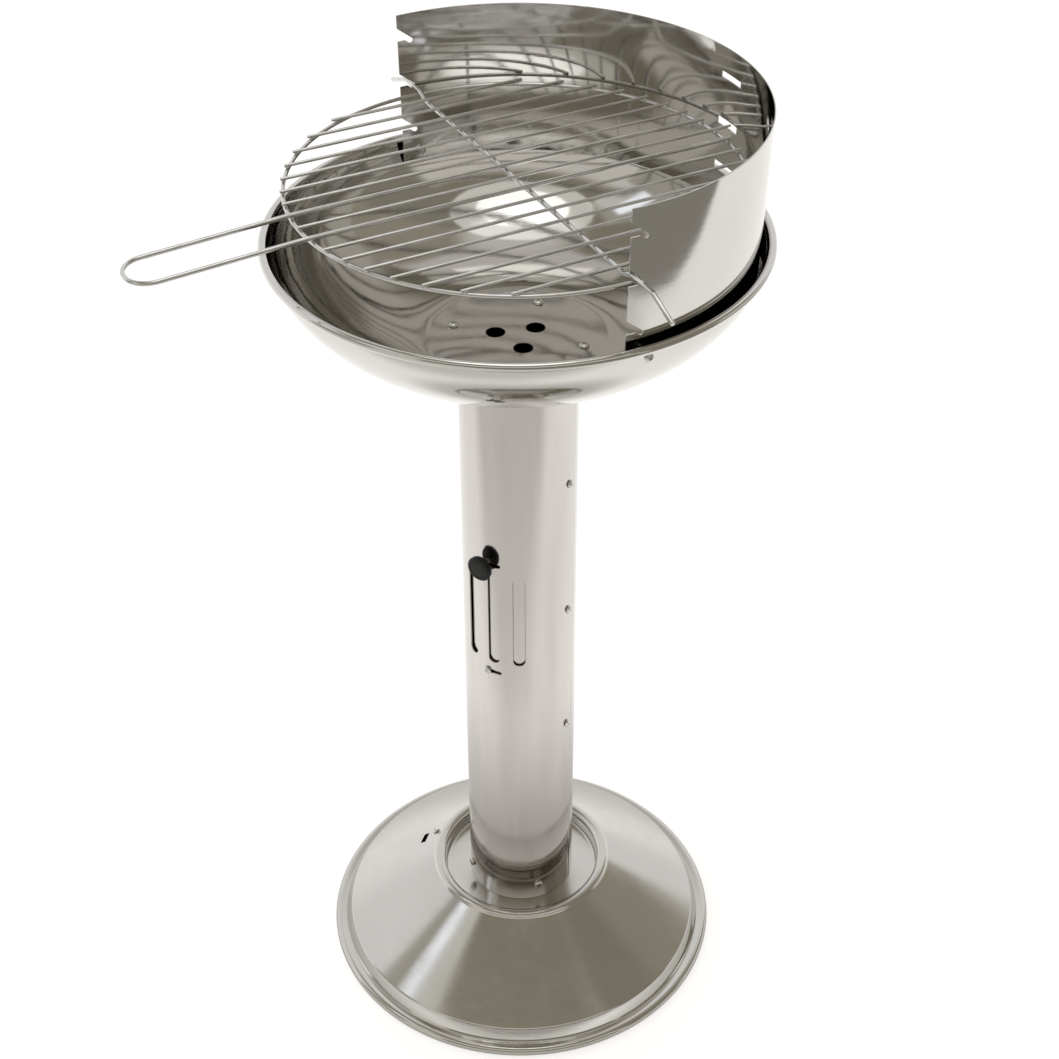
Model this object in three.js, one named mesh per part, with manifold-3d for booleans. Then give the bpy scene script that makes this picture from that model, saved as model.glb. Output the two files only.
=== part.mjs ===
// Pillar barbecue in stainless sheet: a pressed cone foot, a rolled column with a turning
// air vent, a fire bowl, a half-round wind shield and a wire cooking grate that hangs in it.
// Millimetres and degrees, +Z up. Angles are measured about the column from +X. The shield
// stands on the +X side and the grate's handle points to -X. The origin lies on the floor,
// under the middle of the whole barbecue's bounding box.

import * as THREE from 'three';
import { mergeVertices } from 'three/addons/utils/BufferGeometryUtils.js';
import Module from 'manifold-3d';

const wasm = await Module();
wasm.setup();

// Sheet metal and fits
const sheetThickness = 1.2;
const seatGap = 0.3;
const slidingGap = 0.4;
const cutOverrun = 6;
const fullTurn = 360;

// Foot: pressed cone with a curled rim, a bead and a neck that goes up inside the column
const footDiameter = 420;
const curlRadius = 5.5;
const curlFlatWidth = 3;
const curlLipAngle = -145;
const curlBrimAngle = 100;
const brimHeight = 10;
const stepFootRadius = 197;
const coneEdgeRadius = 191.5;
const coneEdgeHeight = 23.5;
const coneTopHeight = 88;
const beadOuterRadius = 97;
const beadInnerRadius = 83;
const beadTopHeight = 93;
const beadStartAngle = 30;
const recessHeight = 75;
const neckRise = 30;
const footScrewRise = 20;
const footScrewCount = 4;
const footScrewAngle = -98;

// Foot: tool slot through the cone, and the screw beside it
const footSlotAngle = 135;
const footSlotRadius = 114;
const footSlotLength = 14;
const footSlotWidth = 7;
const footSlotScrewAngle = 131;
const footSlotScrewRadius = 103;

// Column: sheet rolled to a tube, its inner edge joggled under the outer one
const columnDiameter = 112;
const seamAngle = -59.6;
const seamOverlap = 18;
const seamScrewCount = 3;
const seamScrewTopDrop = 140;
const seamScrewFootRise = 235;

// Air vent: upright slots in the column, with a sleeve that turns behind them
const ventSlotCount = 3;
const ventSlotWidth = 12;
const ventSlotLength = 110;
const ventSlotMiddleHeight = 464.6;
const ventSlotPitchAngle = 26.7;
const ventMiddleAngle = -144.6;
const ventLap = 0.7;
const sleeveGap = 1.4;
const sleeveSideLap = 12;
const sleeveEndLap = 16;
const stemAngle = -152;
const stemSetOff = 12;
const travelSlotWidth = 5;
const knobDiameter = 26;
const knobThickness = 6;
const knobFaceWall = 2;
const knobStandOff = 7.6;

// Bowl: spun dish with a rolled rim
const bowlRimDiameter = 450;
const bowlRimHeight = 863;
const bowlRollRadius = 4.5;
const bowlDepth = 109;
const bowlFloorRadius = 81;
const bowlWallInset = 6.5;
const bowlWallExponent = 1.205;
const airHoleDiameter = 18;
const airHoleCircleRadius = 21.5;
const airHoleCount = 3;
const airHoleAngle = 15;
const bowlBoltCircleRadius = 62;
const bowlBoltCount = 4;
const bowlBoltAngle = 45;

// Ring between the column's top and the bowl's floor
const topRingFlangeRadius = 71;
const topRingCollarDepth = 26;
const topScrewCount = 4;
const topScrewAngle = -98;
const topScrewDrop = 14;

// Wind shield: half-round sheet, a little wider at the top, notched at both ends
const shieldInset = 14.5;
const shieldFlare = 4.5;
const shieldTopRise = 120;
const shieldEndOffset = 13;
const shieldScrewDrop = 14;
const shieldScrewSetBack = 5;
const spacerWidth = 8;

// Notches that hold the grate at one of three heights, and the slots behind them
const notchCount = 3;
const notchPitch = 43.5;
const notchMiddleRise = 51;
const notchSlope = 38;
const notchToothRise = 0.8;
const rearSlotLength = 31;

// Cooking grate: ring, parallel rods, cross bar and handle
const grateClearance = 9.8;
const ringWireDiameter = 3.6;
const rodDiameter = 3;
const rodCount = 17;
const rodOverhang = 2.5;
const rearRodPoke = 2.4;
const crossBarDiameter = 4.2;
const crossBarHookSetOff = 12;
const crossBarHookDrop = 12;
const crossBarHookSpread = 31;
const crossBarBendRadius = 7;
const handleWireDiameter = 4.2;
const handleReach = 351;
const handleDrop = 7;
const handleRodNumber = 1;

// Fasteners: pan-head screws and hexagon nuts
const m5Shank = 5;
const m5Head = 9.5;
const m5HeadRise = 3.2;
const m5NutWidth = 8;
const m5NutThickness = 4;
const m4Shank = 4;
const m4Head = 8;
const m4HeadRise = 2.6;
const m4NutWidth = 7;
const m4NutThickness = 3.2;
const shankPastNut = 1.5;
const screwPoke = 3;

// Facet counts
const roundFacets = 48;
const columnFacets = 64;
const wireFacets = 8;
const screwFacets = 10;
const knobFacets = 24;
const sleeveFacets = 20;
const bendSteps = 4;
const domeSteps = 3;
const bowlWallSteps = 8;

// Sizes of the column, worked out from what stands under and over it
const columnRadius = columnDiameter / 2;
const columnInnerRadius = columnRadius - sheetThickness;
const seamInnerRadius = columnInnerRadius - seatGap - sheetThickness;
const neckRadius = seamInnerRadius - seatGap;
const neckInnerRadius = neckRadius - sheetThickness;
const columnFootHeight = recessHeight + seatGap;
const bowlFloorHeight = bowlRimHeight - bowlDepth;
const topRingHeight = bowlFloorHeight - seatGap - sheetThickness;
const columnTopHeight = topRingHeight - seatGap;
const footScrewHeight = recessHeight + footScrewRise;
const topScrewHeight = columnTopHeight - topScrewDrop;
const seamFootScrewHeight = columnFootHeight + seamScrewFootRise;
const seamTopScrewHeight = columnTopHeight - seamScrewTopDrop;
const seamScrewPitch = (seamTopScrewHeight - seamFootScrewHeight) / (seamScrewCount - 1);

// Sizes of the air vent: the sleeve turns by one slot's width and a little more
const ventTravelAngle = degrees((ventSlotWidth + ventLap) / columnRadius);
const sleeveRadius = columnInnerRadius - sleeveGap;
const sleeveInnerRadius = sleeveRadius - sheetThickness;
const sleeveHeight = ventSlotLength + (stemSetOff + sleeveEndLap) * 2;
const knobHeight = ventSlotMiddleHeight + ventSlotLength / 2 + stemSetOff;
const guideScrewHeight = ventSlotMiddleHeight - ventSlotLength / 2 - stemSetOff;

// Sizes of the bowl and of the shield that stands in it
const bowlRimRadius = bowlRimDiameter / 2;
const bowlWallTop = bowlRimHeight - bowlRollRadius;
const bowlWallRise = bowlWallTop - bowlFloorHeight;
const bowlWallReach = bowlRimRadius - bowlWallInset - bowlFloorRadius;
const shieldFootRadius = bowlRimRadius - shieldInset;
const shieldTopRadius = shieldFootRadius + shieldFlare;
const shieldTopHeight = bowlRimHeight + shieldTopRise;
const shieldScrewHeight = bowlRimHeight - shieldScrewDrop;
const shieldScrewAngle = degrees(Math.acos(shieldScrewSetBack / shieldFootRadius));

// Sizes of the grate, which hangs by its cross bar in the middle pair of notches
const crossBarRadius = crossBarDiameter / 2;
const ringWireRadius = ringWireDiameter / 2;
const rodRadius = rodDiameter / 2;
const handleWireRadius = handleWireDiameter / 2;
const notchRadius = crossBarRadius + seatGap;
const notchSeatHeight = bowlRimHeight + notchMiddleRise;
const grateRingRadius = shieldFootRadius - sheetThickness - grateClearance;
const grateEdgeRadius = grateRingRadius + rodOverhang;
const rodPitch = grateRingRadius * 2 / (rodCount + 1);
const ringHeight = notchSeatHeight - crossBarRadius - seatGap - ringWireRadius;
const wireSeatHeight = ringHeight + ringWireRadius + seatGap;
const rodHeight = wireSeatHeight + rodRadius;
const handleHeight = wireSeatHeight + handleWireRadius;
const crossBarHeight = wireSeatHeight - seatGap - crossBarRadius;
const columnAxisX = (handleReach - bowlRimRadius) / 2;

// Fastener sizes: shank, head and rise of a screw; width, thickness and bore of a nut
const m5Screw = [m5Shank, m5Head, m5HeadRise];
const m4Screw = [m4Shank, m4Head, m4HeadRise];
const m5Nut = [m5NutWidth, m5NutThickness, m5Shank];
const m4Nut = [m4NutWidth, m4NutThickness, m4Shank];
const m5Hole = m5Shank / 2 + seatGap;
const m4Hole = m4Shank / 2 + seatGap;

const finishes = {
  mirrorSteel: { color: 0xd6d4d0, roughness: 0.12, metalness: 1 },
  columnSteel: { color: 0xd2cdc8, roughness: 0.16, metalness: 1 },
  brushedSteel: { color: 0xcfcecb, roughness: 0.3, metalness: 1 },
  chromeWire: { color: 0xdcdcdc, roughness: 0.14, metalness: 1 },
  zincScrew: { color: 0xb9b8b2, roughness: 0.35, metalness: 1 },
  blackPlastic: { color: 0x181a18, roughness: 0.45, metalness: 0 },
};

const barbecue = new THREE.Group();
barbecue.name = 'pillar_barbecue';
barbecue.position.x = columnAxisX;

function addPiece(name, geometry, finishName) {
  const mesh = new THREE.Mesh(geometry, new THREE.MeshStandardMaterial(finishes[finishName]));
  mesh.name = name;
  barbecue.add(mesh);
}

// Angles
function radians(angle) {
  return THREE.MathUtils.degToRad(angle);
}

function degrees(angle) {
  return THREE.MathUtils.radToDeg(angle);
}

function anglesRound(count, firstAngle) {
  return Array.from({ length: count }, (_, index) => firstAngle + fullTurn / count * index);
}

// Solids: a closed mesh becomes a solid for cutting, and comes back as a mesh
function solidOf(geometry) {
  const bare = geometry.clone();
  bare.deleteAttribute('normal');
  bare.deleteAttribute('uv');
  const merged = mergeVertices(bare);
  const mesh = new wasm.Mesh({
    numProp: 3,
    vertProperties: new Float32Array(merged.attributes.position.array),
    triVerts: new Uint32Array(merged.index.array),
  });
  return new wasm.Manifold(mesh);
}

function geometryOf(solid) {
  const mesh = solid.getMesh();
  const geometry = new THREE.BufferGeometry();
  geometry.setAttribute('position', new THREE.BufferAttribute(mesh.vertProperties, 3));
  geometry.setIndex(new THREE.BufferAttribute(mesh.triVerts, 1));
  geometry.computeVertexNormals();
  return geometry;
}

function cutFrom(geometry, tools) {
  const left = tools.reduce((rest, tool) => rest.subtract(solidOf(tool)), solidOf(geometry));
  return geometryOf(left);
}

function joined(first, second) {
  return geometryOf(solidOf(first).add(solidOf(second)));
}

// Outlines: points are pairs, of radius and height or of x and y
function arcPoints(centre, radius, fromAngle, toAngle, steps) {
  return Array.from({ length: steps + 1 }, (_, index) => {
    const angle = radians(fromAngle + (toAngle - fromAngle) * index / steps);
    return [centre[0] + radius * Math.cos(angle), centre[1] + radius * Math.sin(angle)];
  });
}

function shapeOf(points) {
  return new THREE.Shape(points.map(([x, y]) => new THREE.Vector2(x, y)));
}

// The direction to the left of a step from one point to the next
function leftOf(from, to) {
  return new THREE.Vector2(from[1] - to[1], to[0] - from[0]).normalize();
}

// A line of points moved to its left by a distance, with mitred corners
function offsetFace(points, distance) {
  const last = points.length - 1;
  return points.map((point, index) => {
    const behind = leftOf(points[Math.max(index - 1, 0)], points[Math.max(index, 1)]);
    const ahead = leftOf(points[Math.min(index, last - 1)], points[Math.min(index + 1, last)]);
    const share = distance / (1 + behind.dot(ahead));
    return [point[0] + (behind.x + ahead.x) * share, point[1] + (behind.y + ahead.y) * share];
  });
}

// Reads a rising line of points: the other coordinate where one of the two has a value
function alongFace(points, known, value) {
  const wanted = 1 - known;
  const index = points.findIndex((point) => point[known] >= value);
  const before = points[index - 1];
  const after = points[index];
  const share = (value - before[known]) / (after[known] - before[known]);
  return before[wanted] + (after[wanted] - before[wanted]) * share;
}

// A profile spun about the upright axis, with its solid to the left of its points
function turned(profile, facets = roundFacets) {
  const points = profile.map(([radius, height]) => new THREE.Vector2(radius, height));
  const geometry = new THREE.LatheGeometry(points, facets);
  geometry.rotateX(radians(90));
  return geometry;
}

// Sheet spun about the axis: its outer face, and the same face moved in by the thickness
function spunSheet(outer) {
  const inner = offsetFace(outer, sheetThickness);
  const isRing = outer[0][0] > 0;
  return turned([...outer, ...inner.reverse(), ...(isRing ? [outer[0]] : [])]);
}

function extruded(shape, depth) {
  return new THREE.ExtrudeGeometry(shape, {
    depth, bevelEnabled: false, steps: 1, curveSegments: bendSteps,
  });
}

function placed(geometry, angle, height) {
  geometry.rotateZ(radians(angle));
  geometry.translate(0, 0, height);
  return geometry;
}

// A rod along +X, from one distance out from the axis to another
function radialRod(radius, from, to, facets = screwFacets) {
  const geometry = new THREE.CylinderGeometry(radius, radius, to - from, facets);
  geometry.rotateZ(radians(90));
  geometry.translate((from + to) / 2, 0, 0);
  return geometry;
}

function radialDrill(radius, faceRadius, angle, height) {
  return placed(radialRod(radius, faceRadius - cutOverrun, faceRadius + cutOverrun), angle, height);
}

// An upright drill through the bowl's floor and the ring under it
function floorDrill(radius, facets, circleRadius, angle) {
  const drill = new THREE.CylinderGeometry(radius, radius, cutOverrun * 2, facets);
  drill.rotateX(radians(90));
  drill.translate(circleRadius, 0, 0);
  return placed(drill, angle, bowlFloorHeight);
}

// A slot with round ends through the column's wall: its span lies across or upright
function slotCutter(across, upright, angle, height) {
  const radius = Math.min(across, upright) / 2;
  const sideways = across / 2 - radius;
  const rise = upright / 2 - radius;
  const turn = across > upright ? -90 : 0;
  const shape = shapeOf([
    ...arcPoints([sideways, rise], radius, turn, turn + 180, bendSteps * 2),
    ...arcPoints([-sideways, -rise], radius, turn + 180, turn + fullTurn, bendSteps * 2),
  ]);
  const geometry = extruded(shape, cutOverrun * 2);
  geometry.rotateX(radians(90));
  geometry.rotateZ(radians(90));
  geometry.translate(columnRadius - cutOverrun, 0, 0);
  return placed(geometry, angle, height);
}

// A pan-head screw: the shank runs along -X from the head's underside at the origin
function screwGeometry([shankDiameter, headDiameter, headRise], shankLength) {
  const headRadius = headDiameter / 2;
  const shankRadius = shankDiameter / 2;
  const dome = Array.from({ length: domeSteps }, (_, index) => {
    const angle = radians(90) * index / domeSteps;
    return [headRadius * Math.cos(angle), headRise * Math.sin(angle)];
  });
  const shank = [[0, -shankLength], [shankRadius, -shankLength], [shankRadius, 0]];
  const geometry = turned([...shank, ...dome, [0, headRise]], screwFacets);
  geometry.rotateY(radians(90));
  return geometry;
}

// A hexagon nut with its bore along X, one face at the origin and the body towards -X
function nutGeometry([nutWidth, nutThickness, boltDiameter]) {
  const cornerRadius = nutWidth / Math.sqrt(3);
  const outline = shapeOf(anglesRound(6, 0).map((angle) => (
    [cornerRadius * Math.cos(radians(angle)), cornerRadius * Math.sin(radians(angle))]
  )));
  const bore = arcPoints([0, 0], boltDiameter / 2 + seatGap, 0, fullTurn, screwFacets).slice(1);
  outline.holes.push(new THREE.Path(bore.map(([x, y]) => new THREE.Vector2(x, y))));
  const geometry = extruded(outline, nutThickness);
  geometry.rotateY(radians(-90));
  return geometry;
}

function addScrew(name, size, seatRadius, shankLength, angle, height) {
  const geometry = screwGeometry(size, shankLength);
  geometry.translate(seatRadius, 0, 0);
  addPiece(name, placed(geometry, angle, height), 'zincScrew');
}

function addNut(name, size, seatRadius, angle, height) {
  const geometry = nutGeometry(size);
  geometry.translate(seatRadius, 0, 0);
  addPiece(name, placed(geometry, angle, height), 'zincScrew');
}

// A screw from outside the column into the neck or the collar inside it
function addColumnScrew(name, angle, height) {
  const seatRadius = columnRadius + seatGap;
  addScrew(name, m5Screw, seatRadius, seatRadius - neckInnerRadius + screwPoke, angle, height);
}

// A wire's centre line: straight stretches with a rounded bend at each inner corner
class WirePath extends THREE.Curve {
  constructor(corners, bendRadius) {
    super();
    this.stations = [corners[0]];
    for (let index = 1; index < corners.length - 1; index += 1) {
      this.addBend(corners[index - 1], corners[index], corners[index + 1], bendRadius);
    }
    this.stations.push(corners[corners.length - 1]);
  }

  addBend(before, corner, after, bendRadius) {
    const back = before.clone().sub(corner).normalize();
    const ahead = after.clone().sub(corner).normalize();
    const half = back.angleTo(ahead) / 2;
    const bisector = back.clone().add(ahead).normalize();
    const centre = corner.clone().addScaledVector(bisector, bendRadius / Math.sin(half));
    const tangentPoint = corner.clone().addScaledVector(back, bendRadius / Math.tan(half));
    const spoke = tangentPoint.sub(centre);
    const axis = spoke.clone().cross(corner.clone().sub(centre)).normalize();
    const turn = Math.PI - 2 * half;
    for (let step = 0; step <= bendSteps; step += 1) {
      const turnedSpoke = spoke.clone().applyAxisAngle(axis, turn * step / bendSteps);
      this.stations.push(centre.clone().add(turnedSpoke));
    }
  }

  getPointAt(share) {
    return this.stations[Math.round(share * (this.stations.length - 1))].clone();
  }

  getTangentAt(share) {
    const last = this.stations.length - 1;
    const index = Math.round(share * last);
    const station = this.stations[index];
    const ahead = this.stations[Math.min(index + 1, last)].clone().sub(station).normalize();
    const behind = station.clone().sub(this.stations[Math.max(index - 1, 0)]).normalize();
    return ahead.add(behind).normalize();
  }
}

function wireGeometry(corners, wireRadius, bendRadius) {
  const path = new WirePath(corners.map((corner) => new THREE.Vector3(...corner)), bendRadius);
  const section = shapeOf(arcPoints([0, 0], wireRadius, 0, fullTurn, wireFacets).slice(1));
  return new THREE.ExtrudeGeometry(section, {
    steps: path.stations.length - 1, extrudePath: path, bevelEnabled: false,
  });
}

// A line of points and its mirror image across the grate's middle, as one run of wire
function mirroredRun(corners) {
  const back = corners.map(([x, y, z]) => [x, -y, z]);
  return [...corners, ...back.reverse()];
}

// Foot
const coneSlope = (coneTopHeight - coneEdgeHeight) / (coneEdgeRadius - beadOuterRadius);
const coneTilt = degrees(Math.atan(coneSlope));

function coneHeightAt(radius) {
  return coneEdgeHeight + (coneEdgeRadius - radius) * coneSlope;
}

function footOuterFace() {
  const curlOuter = footDiameter / 2 - curlRadius;
  const curlInner = curlOuter - curlFlatWidth;
  const beadMiddle = (beadOuterRadius + beadInnerRadius) / 2;
  const beadHalf = (beadOuterRadius - beadInnerRadius) / 2;
  return [
    ...arcPoints([curlInner, curlRadius], curlRadius, curlLipAngle, -90, bendSteps / 2),
    ...arcPoints([curlOuter, curlRadius], curlRadius, -90, curlBrimAngle, bendSteps),
    [stepFootRadius + sheetThickness, brimHeight],
    [stepFootRadius, brimHeight + sheetThickness],
    [coneEdgeRadius, coneEdgeHeight],
    [beadOuterRadius, coneTopHeight],
    ...arcPoints([beadMiddle, beadTopHeight - beadHalf], beadHalf, beadStartAngle, 180, bendSteps),
    [beadInnerRadius, recessHeight + sheetThickness],
    [beadInnerRadius - sheetThickness, recessHeight],
    [neckRadius, recessHeight],
    [neckRadius, recessHeight + neckRise],
  ];
}

function footSlotCutter() {
  const box = new THREE.BoxGeometry(footSlotWidth, footSlotLength, cutOverrun * 2);
  box.rotateY(radians(coneTilt));
  box.translate(footSlotRadius, 0, 0);
  return placed(box, footSlotAngle, coneHeightAt(footSlotRadius));
}

// Stands a piece made along +X square to the cone, a distance above its face
function onCone(geometry, lift) {
  geometry.translate(lift, 0, 0);
  geometry.rotateY(radians(coneTilt - 90));
  geometry.translate(footSlotScrewRadius, 0, 0);
  return placed(geometry, footSlotScrewAngle, coneHeightAt(footSlotScrewRadius));
}

function addFoot() {
  const screwAngles = anglesRound(footScrewCount, footScrewAngle);
  addPiece('foot_cone', cutFrom(spunSheet(footOuterFace()), [
    ...screwAngles.map((angle) => radialDrill(m5Hole, neckRadius, angle, footScrewHeight)),
    onCone(radialRod(m4Hole, -cutOverrun, cutOverrun), 0),
    footSlotCutter(),
  ]), 'brushedSteel');
  screwAngles.forEach((angle, index) => {
    addColumnScrew(`foot_screw_${index + 1}`, angle, footScrewHeight);
  });
  const slotNutDrop = sheetThickness + seatGap;
  const slotShankLength = seatGap + slotNutDrop + m4NutThickness + shankPastNut;
  const slotScrew = onCone(screwGeometry(m4Screw, slotShankLength), seatGap);
  addPiece('foot_slot_screw', slotScrew, 'zincScrew');
  addPiece('foot_slot_nut', onCone(nutGeometry(m4Nut), -slotNutDrop), 'zincScrew');
}

// Column: one strip of sheet, whose last stretch steps in and runs on under the first
function stripFace(outerRadius, lapRadius) {
  const overlapAngle = degrees(seamOverlap / columnRadius);
  const joggleAngle = degrees(sheetThickness * 2 / columnRadius);
  const start = seamAngle + overlapAngle / 2;
  const lapStart = start - fullTurn;
  return [
    ...arcPoints([0, 0], outerRadius, start, lapStart + joggleAngle, columnFacets),
    ...arcPoints([0, 0], lapRadius, lapStart, lapStart - overlapAngle, bendSteps),
  ];
}

function ventSlotCutters(turnBack) {
  const firstAngle = ventMiddleAngle - (ventSlotCount - 1) / 2 * ventSlotPitchAngle;
  return Array.from({ length: ventSlotCount }, (_, index) => slotCutter(
    ventSlotWidth,
    ventSlotLength,
    firstAngle + index * ventSlotPitchAngle - turnBack,
    ventSlotMiddleHeight,
  ));
}

// A level slot round the column, as long as the vent's stem travels in it
function travelSlotCutter(height) {
  const travel = radians(ventTravelAngle) * columnRadius;
  const middleAngle = stemAngle + ventTravelAngle / 2;
  return slotCutter(travel + travelSlotWidth, travelSlotWidth, middleAngle, height);
}

function addColumn() {
  const outline = [
    ...stripFace(columnInnerRadius, seamInnerRadius),
    ...stripFace(columnRadius, seamInnerRadius + sheetThickness).reverse(),
  ];
  const tube = extruded(shapeOf(outline), columnTopHeight - columnFootHeight);
  tube.translate(0, 0, columnFootHeight);
  const seamHeights = Array.from(
    { length: seamScrewCount },
    (_, index) => seamFootScrewHeight + seamScrewPitch * index,
  );
  addPiece('column_tube', cutFrom(tube, [
    ...anglesRound(footScrewCount, footScrewAngle)
      .map((angle) => radialDrill(m5Hole, columnRadius, angle, footScrewHeight)),
    ...anglesRound(topScrewCount, topScrewAngle)
      .map((angle) => radialDrill(m5Hole, columnRadius, angle, topScrewHeight)),
    ...seamHeights.map((height) => radialDrill(m4Hole, columnRadius, seamAngle, height)),
    ...ventSlotCutters(0),
    travelSlotCutter(knobHeight),
    travelSlotCutter(guideScrewHeight),
  ]), 'columnSteel');
  const seatRadius = columnRadius + seatGap;
  const shankLength = seatRadius - seamInnerRadius + screwPoke;
  seamHeights.forEach((height, index) => {
    addScrew(`seam_screw_${index + 1}`, m4Screw, seatRadius, shankLength, seamAngle, height);
  });
}

// Air vent
function addVentSleeve() {
  const slotSpan = ventSlotPitchAngle * (ventSlotCount - 1) / 2;
  const sideLap = degrees((ventSlotWidth / 2 + sleeveSideLap) / sleeveRadius);
  const halfSpan = slotSpan + ventTravelAngle + sideLap;
  const sleeve = extruded(shapeOf([
    ...arcPoints([0, 0], sleeveRadius, -halfSpan, halfSpan, sleeveFacets),
    ...arcPoints([0, 0], sleeveInnerRadius, halfSpan, -halfSpan, sleeveFacets),
  ]), sleeveHeight);
  placed(sleeve, ventMiddleAngle, ventSlotMiddleHeight - sleeveHeight / 2);
  addPiece('vent_sleeve', cutFrom(sleeve, [
    ...ventSlotCutters(ventTravelAngle),
    radialDrill(m4Hole, sleeveRadius, stemAngle, knobHeight),
    radialDrill(m4Hole, sleeveRadius, stemAngle, guideScrewHeight),
  ]), 'brushedSteel');
}

// The knob's bolt comes from inside the sleeve and ends blind in the knob
function addVentKnob() {
  const knobBack = columnRadius + knobStandOff;
  const knobFace = knobBack + knobThickness;
  const boltEnd = knobFace - knobFaceWall;
  const knob = cutFrom(
    radialRod(knobDiameter / 2, knobBack, knobFace, knobFacets),
    [radialRod(m4Hole, knobBack - cutOverrun, boltEnd + seatGap)],
  );
  addPiece('vent_knob', placed(knob, stemAngle, knobHeight), 'blackPlastic');
  const headSeat = sleeveInnerRadius - seatGap;
  const bolt = screwGeometry(m4Screw, boltEnd - headSeat);
  bolt.rotateZ(radians(180));
  bolt.translate(headSeat, 0, 0);
  addPiece('vent_knob_bolt', placed(bolt, stemAngle, knobHeight), 'zincScrew');
  const nutSeat = columnRadius + slidingGap + m4NutThickness;
  addNut('vent_knob_nut', m4Nut, nutSeat, stemAngle, knobHeight);
}

function addVentGuide() {
  const headSeat = columnRadius + slidingGap;
  const nutSeat = sleeveInnerRadius - seatGap;
  const shankLength = headSeat - nutSeat + m4NutThickness + shankPastNut;
  addScrew('vent_guide_screw', m4Screw, headSeat, shankLength, stemAngle, guideScrewHeight);
  addNut('vent_guide_nut', m4Nut, nutSeat, stemAngle, guideScrewHeight);
}

// Ring on the column's top: a collar inside the tube and a flange under the bowl
function addTopRing() {
  const flangeTop = topRingHeight + sheetThickness;
  const collarFoot = topRingHeight - topRingCollarDepth;
  const screwAngles = anglesRound(topScrewCount, topScrewAngle);
  const ring = turned([
    [neckRadius, collarFoot],
    [neckRadius, topRingHeight],
    [topRingFlangeRadius, topRingHeight],
    [topRingFlangeRadius, flangeTop],
    [neckInnerRadius, flangeTop],
    [neckInnerRadius, collarFoot],
    [neckRadius, collarFoot],
  ]);
  addPiece('column_top_ring', cutFrom(ring, [
    ...screwAngles.map((angle) => radialDrill(m5Hole, neckRadius, angle, topScrewHeight)),
    ...bowlBoltDrills(),
  ]), 'brushedSteel');
  screwAngles.forEach((angle, index) => {
    addColumnScrew(`top_screw_${index + 1}`, angle, topScrewHeight);
  });
}

// Bowl: a flat floor, and a wall that follows one superellipse up to the rim
function bowlOuterFace() {
  const wall = Array.from({ length: bowlWallSteps + 1 }, (_, index) => {
    const angle = radians(90) * (1 - index / bowlWallSteps);
    const across = Math.cos(angle) ** bowlWallExponent;
    const down = Math.sin(angle) ** bowlWallExponent;
    return [bowlFloorRadius + bowlWallReach * across, bowlWallTop - bowlWallRise * down];
  });
  return [[0, bowlFloorHeight], ...wall];
}

function bowlBoltDrills() {
  return anglesRound(bowlBoltCount, bowlBoltAngle)
    .map((angle) => floorDrill(m5Hole, screwFacets, bowlBoltCircleRadius, angle));
}

function addBowl() {
  const dish = spunSheet(bowlOuterFace());
  const rollCentreRadius = bowlRimRadius - bowlRollRadius;
  const roll = new THREE.TorusGeometry(rollCentreRadius, bowlRollRadius, wireFacets, roundFacets);
  roll.translate(0, 0, bowlWallTop);
  addPiece('fire_bowl', cutFrom(joined(dish, roll), [
    ...anglesRound(airHoleCount, airHoleAngle)
      .map((angle) => floorDrill(airHoleDiameter / 2, knobFacets, airHoleCircleRadius, angle)),
    ...bowlBoltDrills(),
    ...[-shieldScrewAngle, shieldScrewAngle]
      .map((angle) => radialDrill(m4Hole, shieldFootRadius + cutOverrun, angle, shieldScrewHeight)),
  ]), 'mirrorSteel');
}

function addBowlBolts() {
  const headSeat = bowlFloorHeight + sheetThickness + seatGap;
  const nutSeat = topRingHeight - seatGap;
  const shankLength = headSeat - nutSeat + m5NutThickness + shankPastNut;
  anglesRound(bowlBoltCount, bowlBoltAngle).forEach((angle, index) => {
    const bolt = screwGeometry(m5Screw, shankLength);
    const nut = nutGeometry(m5Nut);
    [bolt, nut].forEach((geometry) => {
      geometry.rotateY(radians(-90));
      geometry.translate(bowlBoltCircleRadius, 0, 0);
    });
    addPiece(`bowl_bolt_${index + 1}`, placed(bolt, angle, headSeat), 'zincScrew');
    addPiece(`bowl_nut_${index + 1}`, placed(nut, angle, nutSeat), 'zincScrew');
  });
}

// Wind shield: its foot rests on the bowl's wall, all along its lower edge
const bowlInnerFace = offsetFace(bowlOuterFace(), sheetThickness);
const shieldFootHeight = alongFace(bowlInnerFace, 0, shieldFootRadius + seatGap * 2);

function shieldRadiusAt(height) {
  const share = (height - shieldFootHeight) / (shieldTopHeight - shieldFootHeight);
  return shieldFootRadius + shieldFlare * share;
}

function notchHeights() {
  return Array.from({ length: notchCount }, (_, index) => (
    notchSeatHeight + (index - (notchCount - 1) / 2) * notchPitch
  ));
}

// A notch in x and z about its seat: a channel that slopes up and out from a round pocket,
// over a tooth with a flat top
function notchOutline() {
  const slope = radians(notchSlope);
  const side = [notchRadius * Math.sin(slope), notchRadius * Math.cos(slope)];
  const mouth = -shieldEndOffset - cutOverrun;
  const mouthTop = side[1] + (side[0] - mouth) * Math.tan(slope);
  const toothCorner = -side[0] - (notchToothRise + side[1]) / Math.tan(slope);
  const pocket = arcPoints([0, 0], notchRadius, -90 - notchSlope, 90 - notchSlope, bendSteps * 2);
  return [...pocket, [mouth, mouthTop], [mouth, notchToothRise], [toothCorner, notchToothRise]];
}

function notchCutter(height) {
  const width = (shieldTopRadius + cutOverrun) * 2;
  const geometry = extruded(shapeOf(notchOutline()), width);
  geometry.rotateX(radians(90));
  geometry.translate(0, width / 2, height);
  return geometry;
}

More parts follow.
